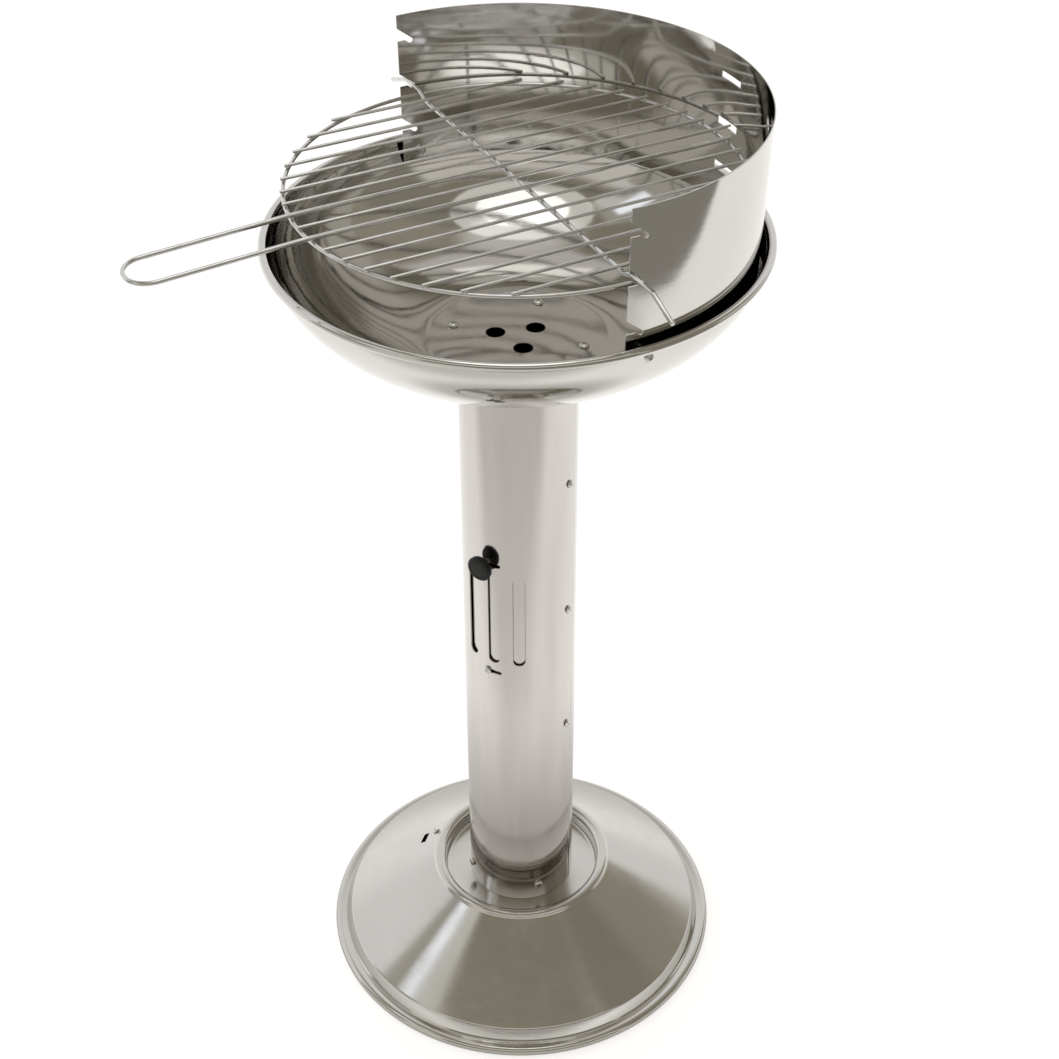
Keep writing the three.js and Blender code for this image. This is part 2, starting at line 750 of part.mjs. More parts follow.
// A slot behind a notch: the middle rod's end rises in it as the grate slides up and out
function rearSlotCutter(height) {
  const travel = shieldRadiusAt(notchSeatHeight) + rearRodPoke - shieldRadiusAt(height) + sheetThickness;
  const foot = height - notchSeatHeight + wireSeatHeight - seatGap;
  const rise = travel * Math.tan(radians(notchSlope));
  const span = rodDiameter + rise + seatGap * 3;
  const box = new THREE.BoxGeometry(cutOverrun * 2, rearSlotLength, span);
  box.translate(shieldRadiusAt(height), 0, foot + span / 2);
  return box;
}

function addShield() {
  const height = shieldTopHeight - shieldFootHeight;
  const band = turned([
    [shieldFootRadius, shieldFootHeight],
    [shieldTopRadius, shieldTopHeight],
    [shieldTopRadius - sheetThickness, shieldTopHeight],
    [shieldFootRadius - sheetThickness, shieldFootHeight],
    [shieldFootRadius, shieldFootHeight],
  ]);
  const cutSpan = (shieldTopRadius + cutOverrun) * 2;
  const openSide = new THREE.BoxGeometry(cutSpan, cutSpan, height + cutOverrun * 2);
  openSide.translate(-cutSpan / 2 - shieldEndOffset, 0, shieldFootHeight + height / 2);
  addPiece('wind_shield', cutFrom(band, [
    openSide,
    ...notchHeights().map(notchCutter),
    ...notchHeights().map(rearSlotCutter),
    ...[-shieldScrewAngle, shieldScrewAngle]
      .map((angle) => radialDrill(m4Hole, shieldFootRadius, angle, shieldScrewHeight)),
  ]), 'mirrorSteel');
}

// Each end screw goes in through the bowl's wall, a spacer and the shield, to a nut inside
function addShieldFastenings() {
  const flatShare = Math.cos(Math.PI / roundFacets);
  const reach = spacerWidth / 2;
  const outerFace = alongFace(bowlOuterFace(), 1, shieldScrewHeight + reach);
  const innerFace = alongFace(bowlInnerFace, 1, shieldScrewHeight - reach) * flatShare;
  const shieldInner = (shieldRadiusAt(shieldScrewHeight - reach) - sheetThickness) * flatShare;
  const headSeat = outerFace + seatGap;
  const spacerOuter = innerFace - seatGap;
  const spacerInner = shieldRadiusAt(shieldScrewHeight + reach) + seatGap;
  const nutSeat = shieldInner - seatGap;
  const spacer = [spacerWidth, spacerOuter - spacerInner, m4Shank];
  const shankLength = headSeat - nutSeat + m4NutThickness + shankPastNut;
  [-shieldScrewAngle, shieldScrewAngle].forEach((angle, index) => {
    const number = index + 1;
    addScrew(`shield_screw_${number}`, m4Screw, headSeat, shankLength, angle, shieldScrewHeight);
    addNut(`shield_spacer_${number}`, spacer, spacerOuter, angle, shieldScrewHeight);
    addNut(`shield_nut_${number}`, m4Nut, nutSeat, angle, shieldScrewHeight);
  });
}

// Cooking grate
function rodEnd(across) {
  return Math.sqrt(grateEdgeRadius ** 2 - across ** 2);
}

function addRods() {
  const middle = (rodCount - 1) / 2;
  const steps = Array.from({ length: rodCount }, (_, index) => index - middle)
    .filter((step) => Math.abs(step) !== handleRodNumber);
  steps.forEach((step, index) => {
    const across = step * rodPitch;
    const rearReach = step === 0 ? shieldRadiusAt(notchSeatHeight) + rearRodPoke : rodEnd(across);
    const rod = radialRod(rodRadius, -rodEnd(across), rearReach, wireFacets);
    rod.translate(0, across, rodHeight);
    addPiece(`grate_rod_${index + 1}`, rod, 'chromeWire');
  });
}

// The cross bar runs under the rods, climbs over the ring and ends in two hooks
function addCrossBar() {
  const outerRod = (rodCount - 1) / 2 * rodPitch;
  const riseFoot = outerRod + rodRadius + crossBarDiameter;
  const riseTop = grateRingRadius - ringWireDiameter - seatGap;
  const hookStart = shieldTopRadius + crossBarHookSetOff;
  const corners = [
    [0, hookStart + crossBarHookSpread, notchSeatHeight - crossBarHookDrop],
    [0, hookStart, notchSeatHeight],
    [0, riseTop, notchSeatHeight],
    [0, riseFoot, crossBarHeight],
  ];
  const bar = wireGeometry(mirroredRun(corners), crossBarRadius, crossBarBendRadius);
  addPiece('grate_cross_bar', bar, 'chromeWire');
}

// The handle is one wire: two legs lie across the whole grate, and run on past the ring
function addHandle() {
  const across = handleRodNumber * rodPitch;
  const corners = [
    [rodEnd(across), across, handleHeight],
    [-grateEdgeRadius, across, handleHeight],
    [handleWireRadius - handleReach, across, handleHeight - handleDrop],
  ];
  const bendRadius = across - handleWireRadius / 2;
  const handle = wireGeometry(mirroredRun(corners), handleWireRadius, bendRadius);
  addPiece('grate_handle', handle, 'chromeWire');
}

function addGrate() {
  const ring = new THREE.TorusGeometry(grateRingRadius, ringWireRadius, wireFacets, roundFacets);
  ring.translate(0, 0, ringHeight);
  addPiece('grate_ring', ring, 'chromeWire');
  addRods();
  addCrossBar();
  addHandle();
}

addFoot();
addColumn();
addVentSleeve();
addVentKnob();
addVentGuide();
addTopRing();
addBowl();
addBowlBolts();
addShield();
addShieldFastenings();
addGrate();

export default barbecue;
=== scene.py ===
import math
from functools import lru_cache

import bpy
from mathutils import Matrix, Vector


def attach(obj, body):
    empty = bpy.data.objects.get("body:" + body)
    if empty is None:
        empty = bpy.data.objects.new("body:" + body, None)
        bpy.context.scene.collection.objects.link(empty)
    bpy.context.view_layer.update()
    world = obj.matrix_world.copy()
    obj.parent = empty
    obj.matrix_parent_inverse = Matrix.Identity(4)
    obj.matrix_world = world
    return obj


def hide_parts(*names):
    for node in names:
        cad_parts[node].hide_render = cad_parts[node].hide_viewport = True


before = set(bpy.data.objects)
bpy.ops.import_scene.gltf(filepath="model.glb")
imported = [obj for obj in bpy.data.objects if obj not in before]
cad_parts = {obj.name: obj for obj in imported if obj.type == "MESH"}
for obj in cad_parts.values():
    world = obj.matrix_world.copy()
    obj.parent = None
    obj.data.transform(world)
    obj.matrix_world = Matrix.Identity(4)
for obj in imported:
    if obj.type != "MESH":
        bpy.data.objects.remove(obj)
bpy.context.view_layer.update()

MM = 0.001
AXIS_X = 63.0
AXIS = (AXIS_X * MM, 0.0, 0.0)  # in metres
FULL_TURN = math.tau
NEAR_ZERO = 1e-6
ALMOST_STRAIGHT = 89.0  # half the angle, in degrees, of a corner that isn't rounded

# Sheet and fits, and how far the cutters reach past the sheet
SHEET = 1.2
SEAT_GAP = 0.3
SLEEVE_GAP = 1.4
EDGE_ROUND = 0.3
OVERRUN = 6.0
DRILL_REACH = 3.0
PUNCH_REACH = 4.0

# Foot
FOOT_RADIUS = 210.0
CURL_RADIUS = 5.5
CURL_FLAT = 3.0
CURL_START = -145.0
CURL_END = 96.0
BRIM_HEIGHT = 10.0
BRIM_ROUND = 1.4
STEP_RADIUS = 197.0
STEP_FLARE = 1.2
STEP_DRAFT = 0.3
STEP_TOP = 12.2
STEP_ROUND = 1.2
CONE_EDGE = (191.5, 23.5)
CONE_EDGE_ROUND = 5.0
CONE_TOP = (97.0, 88.0)
CONE_TOP_ROUND = 3.0
CONE_SLOPE = (CONE_TOP[1] - CONE_EDGE[1]) / (CONE_EDGE[0] - CONE_TOP[0])
BEAD_INNER = 83.0
BEAD_TOP = 93.0
BEAD_SET_IN = 1.1
BEAD_RISE_SHARE = 0.55
BEAD_START = 28.0
BEAD_END = 178.0
BEAD_DROP = 1.0
RECESS_HEIGHT = 75.0
RECESS_ROUND = 3.0
NECK_ROUND = 0.6
NECK_RISE = 30.0
FOOT_SCREW_HEIGHT = 95.0
FOOT_SCREW_ANGLE = -98.0
FOOT_SCREWS = 4
SLOT_ANGLE = 135.0
SLOT_RADIUS = 114.0
SLOT_SIZE = (7.0, 14.0)
SLOT_SCREW_ANGLE = 131.0
SLOT_SCREW_RADIUS = 103.0

# Column and its air vent
COLUMN_RADIUS = 56.0
COLUMN_INNER = COLUMN_RADIUS - SHEET
LAP_OUTER = COLUMN_INNER - SEAT_GAP
LAP_INNER = LAP_OUTER - SHEET
NECK_RADIUS = LAP_INNER - SEAT_GAP
NECK_INNER = NECK_RADIUS - SHEET
COLUMN_FOOT = RECESS_HEIGHT + SEAT_GAP
COLUMN_TOP = 752.2
SEAM_ANGLE = -59.6
SEAM_OVERLAP = 18.0
SEAM_HEIGHTS = (310.3, 461.25, 612.2)
VENT_WIDTH = 12.0
VENT_LENGTH = 110.0
VENT_HEIGHT = 464.6
VENT_PITCH = 26.7
VENT_MIDDLE = -144.6
VENT_LAP = 0.7
VENT_TRAVEL = math.degrees((VENT_WIDTH + VENT_LAP) / COLUMN_RADIUS)
SLEEVE_RADIUS = COLUMN_INNER - SLEEVE_GAP
SLEEVE_HEIGHT = 166.0
SLEEVE_SIDE_LAP = 12.0
STEM_ANGLE = -152.0
STEM_SET_OFF = 12.0
TRAVEL_SLOT = 5.0
KNOB_HEIGHT = VENT_HEIGHT + VENT_LENGTH / 2 + STEM_SET_OFF
GUIDE_HEIGHT = VENT_HEIGHT - VENT_LENGTH / 2 - STEM_SET_OFF
KNOB_RADIUS = 13.0
KNOB_BACK = COLUMN_RADIUS + 7.6
KNOB_FACE = KNOB_BACK + 6.0
KNOB_BACK_INSET = 2.4
KNOB_BACK_ROUND = 0.6
KNOB_CROWN = 2.0
KNOB_BOLT_DEPTH = 2.0
GUIDE_SCREW_GAP = 0.4

# The knob's front: how far in from its rim, how far back from its face, and the fillet
KNOB_FRONT = ((0.0, 2.0, 0.5), (1.6, 0.2, 1.2), (3.6, 0.1, 0.3), (4.2, 0.6, 0.3), (4.8, 0.1, 0.3))

# Bowl and the ring under it
BOWL_FLOOR = 754.0
BOWL_FLOOR_RADIUS = 81.0
BOWL_FLOOR_RINGS = (0, 24, 48, 70)
BOWL_WALL_TOP = 858.5
BOWL_WALL_RADIUS = 218.5
BOWL_EXPONENT = 1.205
BOWL_RIM_RADIUS = 225.0
BOWL_RIM_TOP = 863.0
RIM_ROUND = 3.85
RIM_START = -133.5
RIM_OUTER_JOIN = 0.4
RIM_INNER_JOIN = 0.6
AIR_HOLES = 3
AIR_HOLE_RADIUS = 9.0
AIR_HOLE_CIRCLE = 21.5
AIR_HOLE_ANGLE = 15.0
BOLTS = 4
BOLT_CIRCLE = 62.0
BOLT_ANGLE = 45.0
TOP_RING_HEIGHT = 752.5
TOP_RING_RADIUS = 71.0
TOP_RING_ROUND = 0.4
COLLAR_DEPTH = 26.0
COLLAR_ROUND = 0.5
COLLAR_INNER_ROUND = 1.6
TOP_SCREW_HEIGHT = COLUMN_TOP - 14.0

# Wind shield
SHIELD_FOOT_RADIUS = 210.5
SHIELD_TOP_RADIUS = 215.0
SHIELD_FOOT = 838.3
SHIELD_TOP = 983.0
SHIELD_RISE = (SHIELD_TOP_RADIUS - SHIELD_FOOT_RADIUS) / (SHIELD_TOP - SHIELD_FOOT)
SHIELD_END = -13.0
SHIELD_SCREW_HEIGHT = 849.0
SHIELD_SCREW_ANGLES = (-88.64, 88.64)
SEAT_HEIGHT = 914.0
NOTCH_PITCH = 43.5
NOTCH_SLOPE = 38.0
NOTCH_RADIUS = 2.4
TOOTH_RISE = 0.8
REAR_SLOT_LENGTH = 31.0
REAR_POKE = 2.4

# Grate
RING_RADIUS = 199.5
RING_WIRE = 1.8
ROD_WIRE = 1.5
BAR_WIRE = 2.1
ROD_PITCH = 22.1667
ROD_PLACES = range(-8, 9)
ROD_OVERHANG = 2.5
RING_HEIGHT = 909.8
ROD_HEIGHT = 913.4
BAR_HEIGHT = 909.5
HANDLE_HEIGHT = 914.0
HANDLE_REACH = 351.0
HANDLE_DROP = 7.0
HOOK_DROP = 12.0
HOOK_SET_OFF = 12.0
HOOK_SPREAD = 31.0
HOOK_BEND = 7.0
RING_WELD = (1.7, 1.3)
BAR_WELD = (1.8, 1.4)
WELD_REACH = 72
WIRE_END_STEPS = (1.0, 0.82, 0.5, 0.2, 0.0)
WIRE_END_ROUND = 0.8
WIRE_END_DEPTH = 0.35

# Fasteners: a screw's shank diameter, head diameter and head height, and a nut's width,
# thickness and bore
M5 = (5.0, 9.5, 3.2)
M4 = (4.0, 8.0, 2.6)
M5_NUT = (8.0, 4.0, 5.0)
M4_NUT = (7.0, 3.2, 4.0)
SPACER_WIDTH = 8.0
SHANK_PAST_SHEET = 3.0
SHANK_PAST_NUT = 1.5
SHANK_CHAMFER = 0.5
HEAD_EDGE_ROUND = 0.1
HEAD_BAND = 0.35
HEAD_BAND_ROUND = 0.2
HEAD_FLAT = 0.4
HEAD_FLAT_ROUND = 2.0
HEAD_DOME = ((0.93, 0.62, 0.9), (0.6, 0.93, 2.4))  # shares of radius and rise, and the fillet
CROSS_REACH = 0.27
CROSS_WIDTH = 0.062
CROSS_DEPTH = 0.55
CROSS_TAPER = 0.55
CROSS_TURN = 37  # degrees that a cross turns for each unit of its screw's name
NUT_CORNER_DROP = 0.58

# Looks: the two colours that each surface drifts between, and the shader's fixed settings. The
# foot is polished brighter beyond a radius in metres, down to a share of its dullness.
BRUSHED = ((0.65, 0.64, 0.615), (0.6, 0.59, 0.565))
MIRROR = ((0.66, 0.65, 0.63), (0.62, 0.61, 0.59))
COLUMN_SHEET = ((0.66, 0.635, 0.615), (0.55, 0.527, 0.508))
CHROME = ((0.69, 0.69, 0.68), (0.57, 0.565, 0.55))
ZINC = ((0.82, 0.81, 0.78), (0.66, 0.65, 0.62))
PLASTIC = ((0.006, 0.0065, 0.006), (0.012, 0.0125, 0.0115))
METAL = {"Metallic": 1.0}
DULL = {"Specular IOR Level": 0.3}
BRIGHT_RIM = (STEP_RADIUS - 5.0) * MM
BRIGHT_RIM_SHARE = 0.35

# Floor, in metres. It glows evenly to the camera. In reflections its glow carries painted shade:
# less towards the room on the camera's side, and a painted contact shadow beside the foot. Past the
# edge of its white sheet it is a darker floor without a glow.
FLOOR_HALF = 9.0
FLOOR_LEVEL = -0.0002
FLOOR_COLOURS = ((0.8, 0.795, 0.79), (0.5, 0.49, 0.47))
FLOOR_FIXED = {"Roughness": 0.9, "Specular IOR Level": 0.0, "Emission Color": (1.0, 1.0, 1.0, 1.0)}
FLOOR_GLOW = 0.64
# Painted shade: in reflections the floor's glow dims towards this side, where the camera stands
DIM_SIDE = (-0.707, -0.707)
DIM_REACH = (0.2, 0.62)
DIM_SHARE = 0.45
# Painted contact shadow: in reflections the floor's glow fades beside the foot
FOOT_SHADE_REACH = (0.2, 0.46)
FOOT_SHADE_SHARE = 0.3
UNDER_FOOT = (0.19, 0.2)
SHEET_SIDE = (0.53, -0.848)
SHEET_REACH = (1.6, 1.64)

# Lamp, in metres and watts: a bright disc, with a dimmer and wider one just above it
LAMP_PLACE = (-0.04, -0.13)
LAMP_AIM = (AXIS[0], 0, 0.8)
LAMP_COLOUR = (0.99, 0.995, 1.0)
LAMPS = (("softbox", 2.05, (0.64, 0.54), 0.75), ("softbox_edge", 2.06, (1.04, 0.9), 1.2))

# Camera, fitted to the photograph, in metres, degrees and millimetres of lens
CAMERA_AZIMUTH = -117.216
CAMERA_REACH = 1.4853
CAMERA_HEIGHT = 1.6466
CAMERA_HEADING = 62.401
CAMERA_PITCH = -36.767
CAMERA_ROLL = -0.116
CAMERA_LENS = 64.86
CAMERA_SENSOR = 36.0
CAMERA_CLIP = (0.05, 60.0)

# The studio, painted on the world over one dim colour, one stretch over another. Each has its
# middle azimuth, half its width, its foot, its top and the softness of its edges in degrees,
# and a colour.
SURROUND = (0.27, 0.247, 0.188)
STUDIO = (
    (0, 200, 73, 200, 12, (0.66, 0.64, 0.6)),
    (60, 45, 40, 76, 12, (0.6, 0.57, 0.54)),
    (-123, 64, -90, 47, 9, (0.7, 0.665, 0.61)),
    (-112, 46, -90, 23, 7, (0.25, 0.23, 0.19)),
    (-45, 18, -90, 76, 7, (0.27, 0.25, 0.2)),
    (-6, 21, 16, 70, 9, (0.34, 0.31, 0.25)),
    (-6, 21, -90, 16, 9, (0.74, 0.72, 0.68)),
    (81, 69, -90, 49, 6, (0.88, 0.875, 0.865)),
    (110, 45, -90, 12, 10, (1.04, 1.04, 1.03)),
    (165, 15, -90, 62, 4, (0.43, 0.41, 0.36)),
    (175, 7, 38, 60, 5, (0.72, 0.71, 0.66)),
    (163, 4.5, 38, 56, 3, (1.3, 1.34, 1.42)),
)

# Fineness: steps round a whole turn, or along a bend
ROUND_STEPS = 256
TOP_RING_STEPS = 192
GRATE_STEPS = 240
KNOB_STEPS = 96
SLEEVE_STEPS = 96
AIR_HOLE_STEPS = 64
BOWL_STEPS = 56
NUT_STEPS = 48
SCREW_STEPS = 40
RIM_STEPS = 30
HANDLE_STEPS = 20
WIRE_SIDES = 20
CURL_STEPS = 18
FILLET_STEPS = 6
BEND_STEPS = 16
WELD_SIDES = 14
BEAD_STEPS = 14
WELD_STEPS = 8

# Creases: edges that turn by more than this many degrees stay sharp
FOOT_CREASE = 38
SHEET_CREASE = 40
WIRE_CREASE = 60
WELD_CREASE = 80
SCREW_CREASE = 34
NUT_CREASE = 30
TRUE_FACE_SHARE = 0.97  # how squarely a face looks outward to be taken as round


# Outlines: points are pairs, of radius and height or of x and y
def arc(centre, radius, start, end, steps):
    points = []
    for index in range(steps + 1):
        angle = math.radians(start + (end - start) * index / steps)
        points.append((centre[0] + radius * math.cos(angle), centre[1] + radius * math.sin(angle)))
    return points


def rounded(corners, radii, steps):
    """A line through corners in space, with each inner corner rounded by its own radius."""
    points = [Vector(corners[0])]
    for index in range(1, len(corners) - 1):
        corner = Vector(corners[index])
        radius = radii[index]
        back = (Vector(corners[index - 1]) - corner).normalized()
        ahead = (Vector(corners[index + 1]) - corner).normalized()
        half = back.angle(ahead) / 2
        if half > math.radians(ALMOST_STRAIGHT):
            points.append(corner)
            continue
        centre = corner + (back + ahead).normalized() * (radius / math.sin(half))
        spoke = corner + back * (radius / math.tan(half)) - centre
        axis = spoke.cross(corner - centre).normalized()
        turn = math.pi - 2 * half
        for step in range(steps + 1):
            points.append(centre + Matrix.Rotation(turn * step / steps, 3, axis) @ spoke)
    points.append(Vector(corners[-1]))
    return points


def filleted(corners, steps=FILLET_STEPS):
    """A flat line through corners of (x, y, fillet radius)."""
    radii = [radius for x, y, radius in corners]
    return [(point.x, point.y) for point in rounded([(x, y, 0) for x, y, radius in corners], radii, steps)]


def offset(points, distance):
    """The line moved to its left, with mitred corners."""
    shifted = []
    for index, point in enumerate(points):
        here = Vector(point)
        sides = []
        if index > 0:
            step = (here - Vector(points[index - 1])).normalized()
            sides.append(Vector((-step.y, step.x)))
        if index < len(points) - 1:
            step = (Vector(points[index + 1]) - here).normalized()
            sides.append(Vector((-step.y, step.x)))
        both = sides[0] + sides[-1]
        shifted.append(tuple(here + both * (distance / (1 + sides[0].dot(sides[-1])))))
    return shifted


# Bare shapes: a pair of points and faces, in millimetres about the column's axis
def spun(profile, steps=ROUND_STEPS):
    """A profile spun about the upright axis, with its solid to the left of its points."""
    verts, faces, rings = [], [], []
    for radius, height in profile:
        if radius < NEAR_ZERO:
            rings.append([len(verts)] * steps)
            verts.append((0.0, 0.0, height))
            continue
        rings.append(list(range(len(verts), len(verts) + steps)))
        for index in range(steps):
            angle = FULL_TURN * index / steps
            verts.append((radius * math.cos(angle), radius * math.sin(angle), height))
    on_axis = profile[0][0] < NEAR_ZERO
    pairs = list(zip(rings, rings[1:])) + ([] if on_axis else [(rings[-1], rings[0])])
    for lower, upper in pairs:
        for index in range(steps):
            after = (index + 1) % steps
            corners = [lower[index], lower[after], upper[after], upper[index]]
            face = [c for place, c in enumerate(corners) if c not in corners[:place]]
            if len(face) > 2:
                faces.append(face)
    return verts, faces


def prism(outline, low, high):
    """An outline of x and y raised from one height to another."""
    count = len(outline)
    verts = [(x, y, low) for x, y in outline] + [(x, y, high) for x, y in outline]
    faces = [list(range(count))[::-1], list(range(count, count * 2))]
    for index in range(count):
        after = (index + 1) % count
        faces.append([index, after, after + count, index + count])
    return verts, faces


def block(size, centre=(0, 0, 0)):
    half_x, half_y, half_z = (value / 2 for value in size)
    outline = [(-half_x, -half_y), (half_x, -half_y), (half_x, half_y), (-half_x, half_y)]
    return moved(prism(outline, -half_z, half_z), Matrix.Translation(centre))


def moved(shape, matrix):
    return [tuple(matrix @ Vector(point)) for point in shape[0]], shape[1]


def together(shapes):
    verts, faces = [], []
    for more_verts, more_faces in shapes:
        start = len(verts)
        verts += more_verts
        faces += [[index + start for index in face] for face in more_faces]
    return verts, faces


def round_to(angle, height, out=0):
    """Takes a shape out along +X, then round the axis by an angle, then up."""
    turn = Matrix.Rotation(math.radians(angle), 4, "Z")
    return Matrix.Translation((0, 0, height)) @ turn @ Matrix.Translation((out, 0, 0))


def radial_place(radius, angle, height):
    """Lays a shape made about +Z down, so that it points outward from the axis."""
    return round_to(angle, height, radius) @ Matrix.Rotation(math.radians(90), 4, "Y")


def upright_drill(radius, low, high, steps=SCREW_STEPS):
    return prism(arc((0, 0), radius, 0, 360, steps)[1:], low, high)


def radial_drill(radius, start, end, angle, height):
    return moved(upright_drill(radius, start, end), radial_place(0, angle, height))


def hole_for(size):
    """Radius of the hole that a screw of this size passes with clearance."""
    return size[0] / 2 + SEAT_GAP


def angles_round(count, first):
    return [first + 360 / count * index for index in range(count)]


# Objects
def add_object(name, data):
    added = bpy.data.objects.new(name, data)
    bpy.context.scene.collection.objects.link(added)
    return added


def remove_piece(piece):
    mesh = piece.data
    bpy.data.objects.remove(piece)
    bpy.data.meshes.remove(mesh)


def make(name, shape):
    mesh = bpy.data.meshes.new(name)
    place = [((x + AXIS_X) * MM, y * MM, z * MM) for x, y, z in shape[0]]
    mesh.from_pydata(place, [], shape[1])
    mesh.update()
    return add_object(name, mesh)


def boolean(piece, shapes, operation="DIFFERENCE"):
    cutter = make(piece.name + "_cutter", together(shapes))
    modifier = piece.modifiers.new("cut", "BOOLEAN")
    modifier.object = cutter
    modifier.operation = operation
    modifier.solver = "EXACT"
    evaluated = piece.evaluated_get(bpy.context.evaluated_depsgraph_get())
    mesh = bpy.data.meshes.new_from_object(evaluated)
    piece.modifiers.clear()
    bare = piece.data
    piece.data = mesh
    bpy.data.meshes.remove(bare)
    remove_piece(cutter)
    piece.data.name = piece.name


def smooth(piece, angle):
    piece.data.shade_smooth()
    piece.data.set_sharp_from_angle(angle=math.radians(angle))


def true_normals(piece, rise=0.0):
    """Gives a rolled sheet the exact normals of its round faces, so cuts don't mark them.

    The rise is how far the face leans out for each unit up."""
    mesh = piece.data
    mesh.shade_smooth()
    normals = []
    for polygon in mesh.polygons:
        flat = polygon.normal
        for index in polygon.loop_indices:
            point = mesh.vertices[mesh.loops[index].vertex_index].co
            out = Vector((point.x - AXIS[0], point.y, 0)).normalized()
            out = Vector((out.x, out.y, -rise)).normalized()
            share = out.dot(flat)
            exact = out if share > 0 else -out
            normals.append(exact if abs(share) > TRUE_FACE_SHARE else flat)
    mesh.normals_split_custom_set(normals)


def finish_piece(piece, material, body, slot, *nodes):
    piece.data.materials.clear()
    piece.data.materials.append(material)
    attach(piece, body)
    if nodes:
        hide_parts(*nodes)


# Materials
def new_material(name, fixed):
    """A material whose shader has some of its sockets at fixed values."""
    material = bpy.data.materials.new(name)
    material.use_nodes = True
    tree = material.node_tree
    shader = tree.nodes["Principled BSDF"]
    for socket, value in fixed.items():
        shader.inputs[socket].default_value = value
    return material, tree, shader


def add_node(tree, kind, settings=None, inputs=None):
    node = tree.nodes.new(kind)
    for name, value in (settings or {}).items():
        setattr(node, name, value)
    for name, value in (inputs or {}).items():
        if isinstance(value, bpy.types.NodeSocket):
            tree.links.new(value, node.inputs[name])
        else:
            node.inputs[name].default_value = value
    return node


def math_node(tree, operation, first, second=0.0):
    return add_node(tree, "ShaderNodeMath", {"operation": operation}, {0: first, 1: second}).outputs[0]


def product(tree, *factors):
    result = factors[0]
    for factor in factors[1:]:
        result = math_node(tree, "MULTIPLY", result, factor)
    return result


def scaled(tree, value, low, high, from_low=0.3, from_high=0.7):
    node = add_node(tree, "ShaderNodeMapRange", inputs={
        "Value": value, "From Min": from_low, "From Max": from_high,
        "To Min": low, "To Max": high,
    })
    return node.outputs["Result"]


def eased(tree, value, start, end):
    """Goes smoothly from nothing at the start to one at the end, which may be the lower."""
    node = add_node(tree, "ShaderNodeMapRange", {"interpolation_type": "SMOOTHSTEP"}, {
        "Value": value, "From Min": start, "From Max": end,
    })
    return node.outputs["Result"]


def along(tree, vector, side):
    """How far a vector reaches towards a level direction of x and y."""
    return add_node(tree, "ShaderNodeVectorMath", {"operation": "DOT_PRODUCT"}, {
        0: vector, 1: (side[0], side[1], 0.0),
    }).outputs["Value"]


def noise(tree, vector, scale, detail, roughness):
    node = add_node(tree, "ShaderNodeTexNoise", inputs={
        "Vector": vector, "Scale": scale, "Detail": detail, "Roughness": roughness,
    })
    return node.outputs["Fac"]


def object_point(tree):
    return add_node(tree, "ShaderNodeTexCoord").outputs["Object"]


def stretched(tree, vector, scale):
    node = add_node(tree, "ShaderNodeMapping", inputs={"Vector": vector, "Scale": scale})
    return node.outputs["Vector"]


def flattened(tree, vector):
    """The vector without its upright part."""
    return add_node(tree, "ShaderNodeVectorMath", {"operation": "MULTIPLY"}, {
        0: vector, 1: (1.0, 1.0, 0.0),
    }).outputs["Vector"]


def reach_from_axis(tree):
    """How far a point lies from the column's axis, in metres."""
    return add_node(tree, "ShaderNodeVectorMath", {"operation": "DISTANCE"}, {
        0: flattened(tree, object_point(tree)), 1: AXIS,
    }).outputs["Value"]


def round_axis(tree, angle_share):
    """Radius, angle and height about the column's axis, for marks that run round it."""
    point = add_node(tree, "ShaderNodeVectorMath", {"operation": "SUBTRACT"}, {
        0: object_point(tree), 1: AXIS,
    }).outputs["Vector"]
    parts = add_node(tree, "ShaderNodeSeparateXYZ", inputs={"Vector": point}).outputs
    radius = reach_from_axis(tree)
    never_zero = math_node(tree, "ADD", radius, 0.0001)
    side = math_node(tree, "DIVIDE", parts["Y"], never_zero)
    ahead = math_node(tree, "DIVIDE", parts["X"], never_zero)
    turn = add_node(tree, "ShaderNodeCombineXYZ", inputs={
        "X": product(tree, side, angle_share), "Y": product(tree, ahead, angle_share),
        "Z": math_node(tree, "ADD", radius, parts["Z"]),
    })
    return turn.outputs["Vector"]


def bumped(tree, shader, height, distance, before=None):
    inputs = {"Height": height, "Distance": distance}
    if before is not None:
        inputs["Normal"] = before
    bump = add_node(tree, "ShaderNodeBump", inputs=inputs)
    tree.links.new(bump.outputs["Normal"], shader.inputs["Normal"])
    return bump.outputs["Normal"]


def mixed(tree, factor, first, second):
    node = add_node(tree, "ShaderNodeMix", {"data_type": "RGBA"}, {"Factor": factor})
    for socket, value in ((node.inputs[6], first), (node.inputs[7], second)):
        if isinstance(value, bpy.types.NodeSocket):
            tree.links.new(value, socket)
        else:
            socket.default_value = (*value, 1.0)
    return node.outputs[2]


def coloured(tree, shader, drift, colours):
    """Lets the base colour drift between two colours with a noise."""
    base = mixed(tree, scaled(tree, drift, 0.0, 1.0), *colours)
    tree.links.new(base, shader.inputs["Base Color"])


def round_steel(name, colours, dullness, grain, grain_depth, wave_depth, bright_from=1.0):
    """Sheet polished on a lathe: fine rings, soft waves of the pressing, and smudges.

    From one radius outward, in metres, it can be polished brighter."""
    material, tree, shader = new_material(name, METAL)
    rings = noise(tree, round_axis(tree, 0.012), grain, 4.0, 0.7)
    smudges = noise(tree, object_point(tree), 38.0, 5.0, 0.62)
    waves = noise(tree, object_point(tree), 14.0, 2.0, 0.4)
    coloured(tree, shader, noise(tree, object_point(tree), 9.0, 4.0, 0.6), colours)
    inner = eased(tree, reach_from_axis(tree), bright_from + 0.002, bright_from)
    polish = scaled(tree, inner, BRIGHT_RIM_SHARE, 1.0, 0.0, 1.0)
    level = math_node(tree, "ADD", scaled(tree, smudges, *dullness), scaled(tree, rings, 0.0, 0.03))
    tree.links.new(product(tree, level, polish), shader.inputs["Roughness"])
    first = bumped(tree, shader, waves, wave_depth)
    bumped(tree, shader, rings, grain_depth, before=first)
    return material, tree, shader


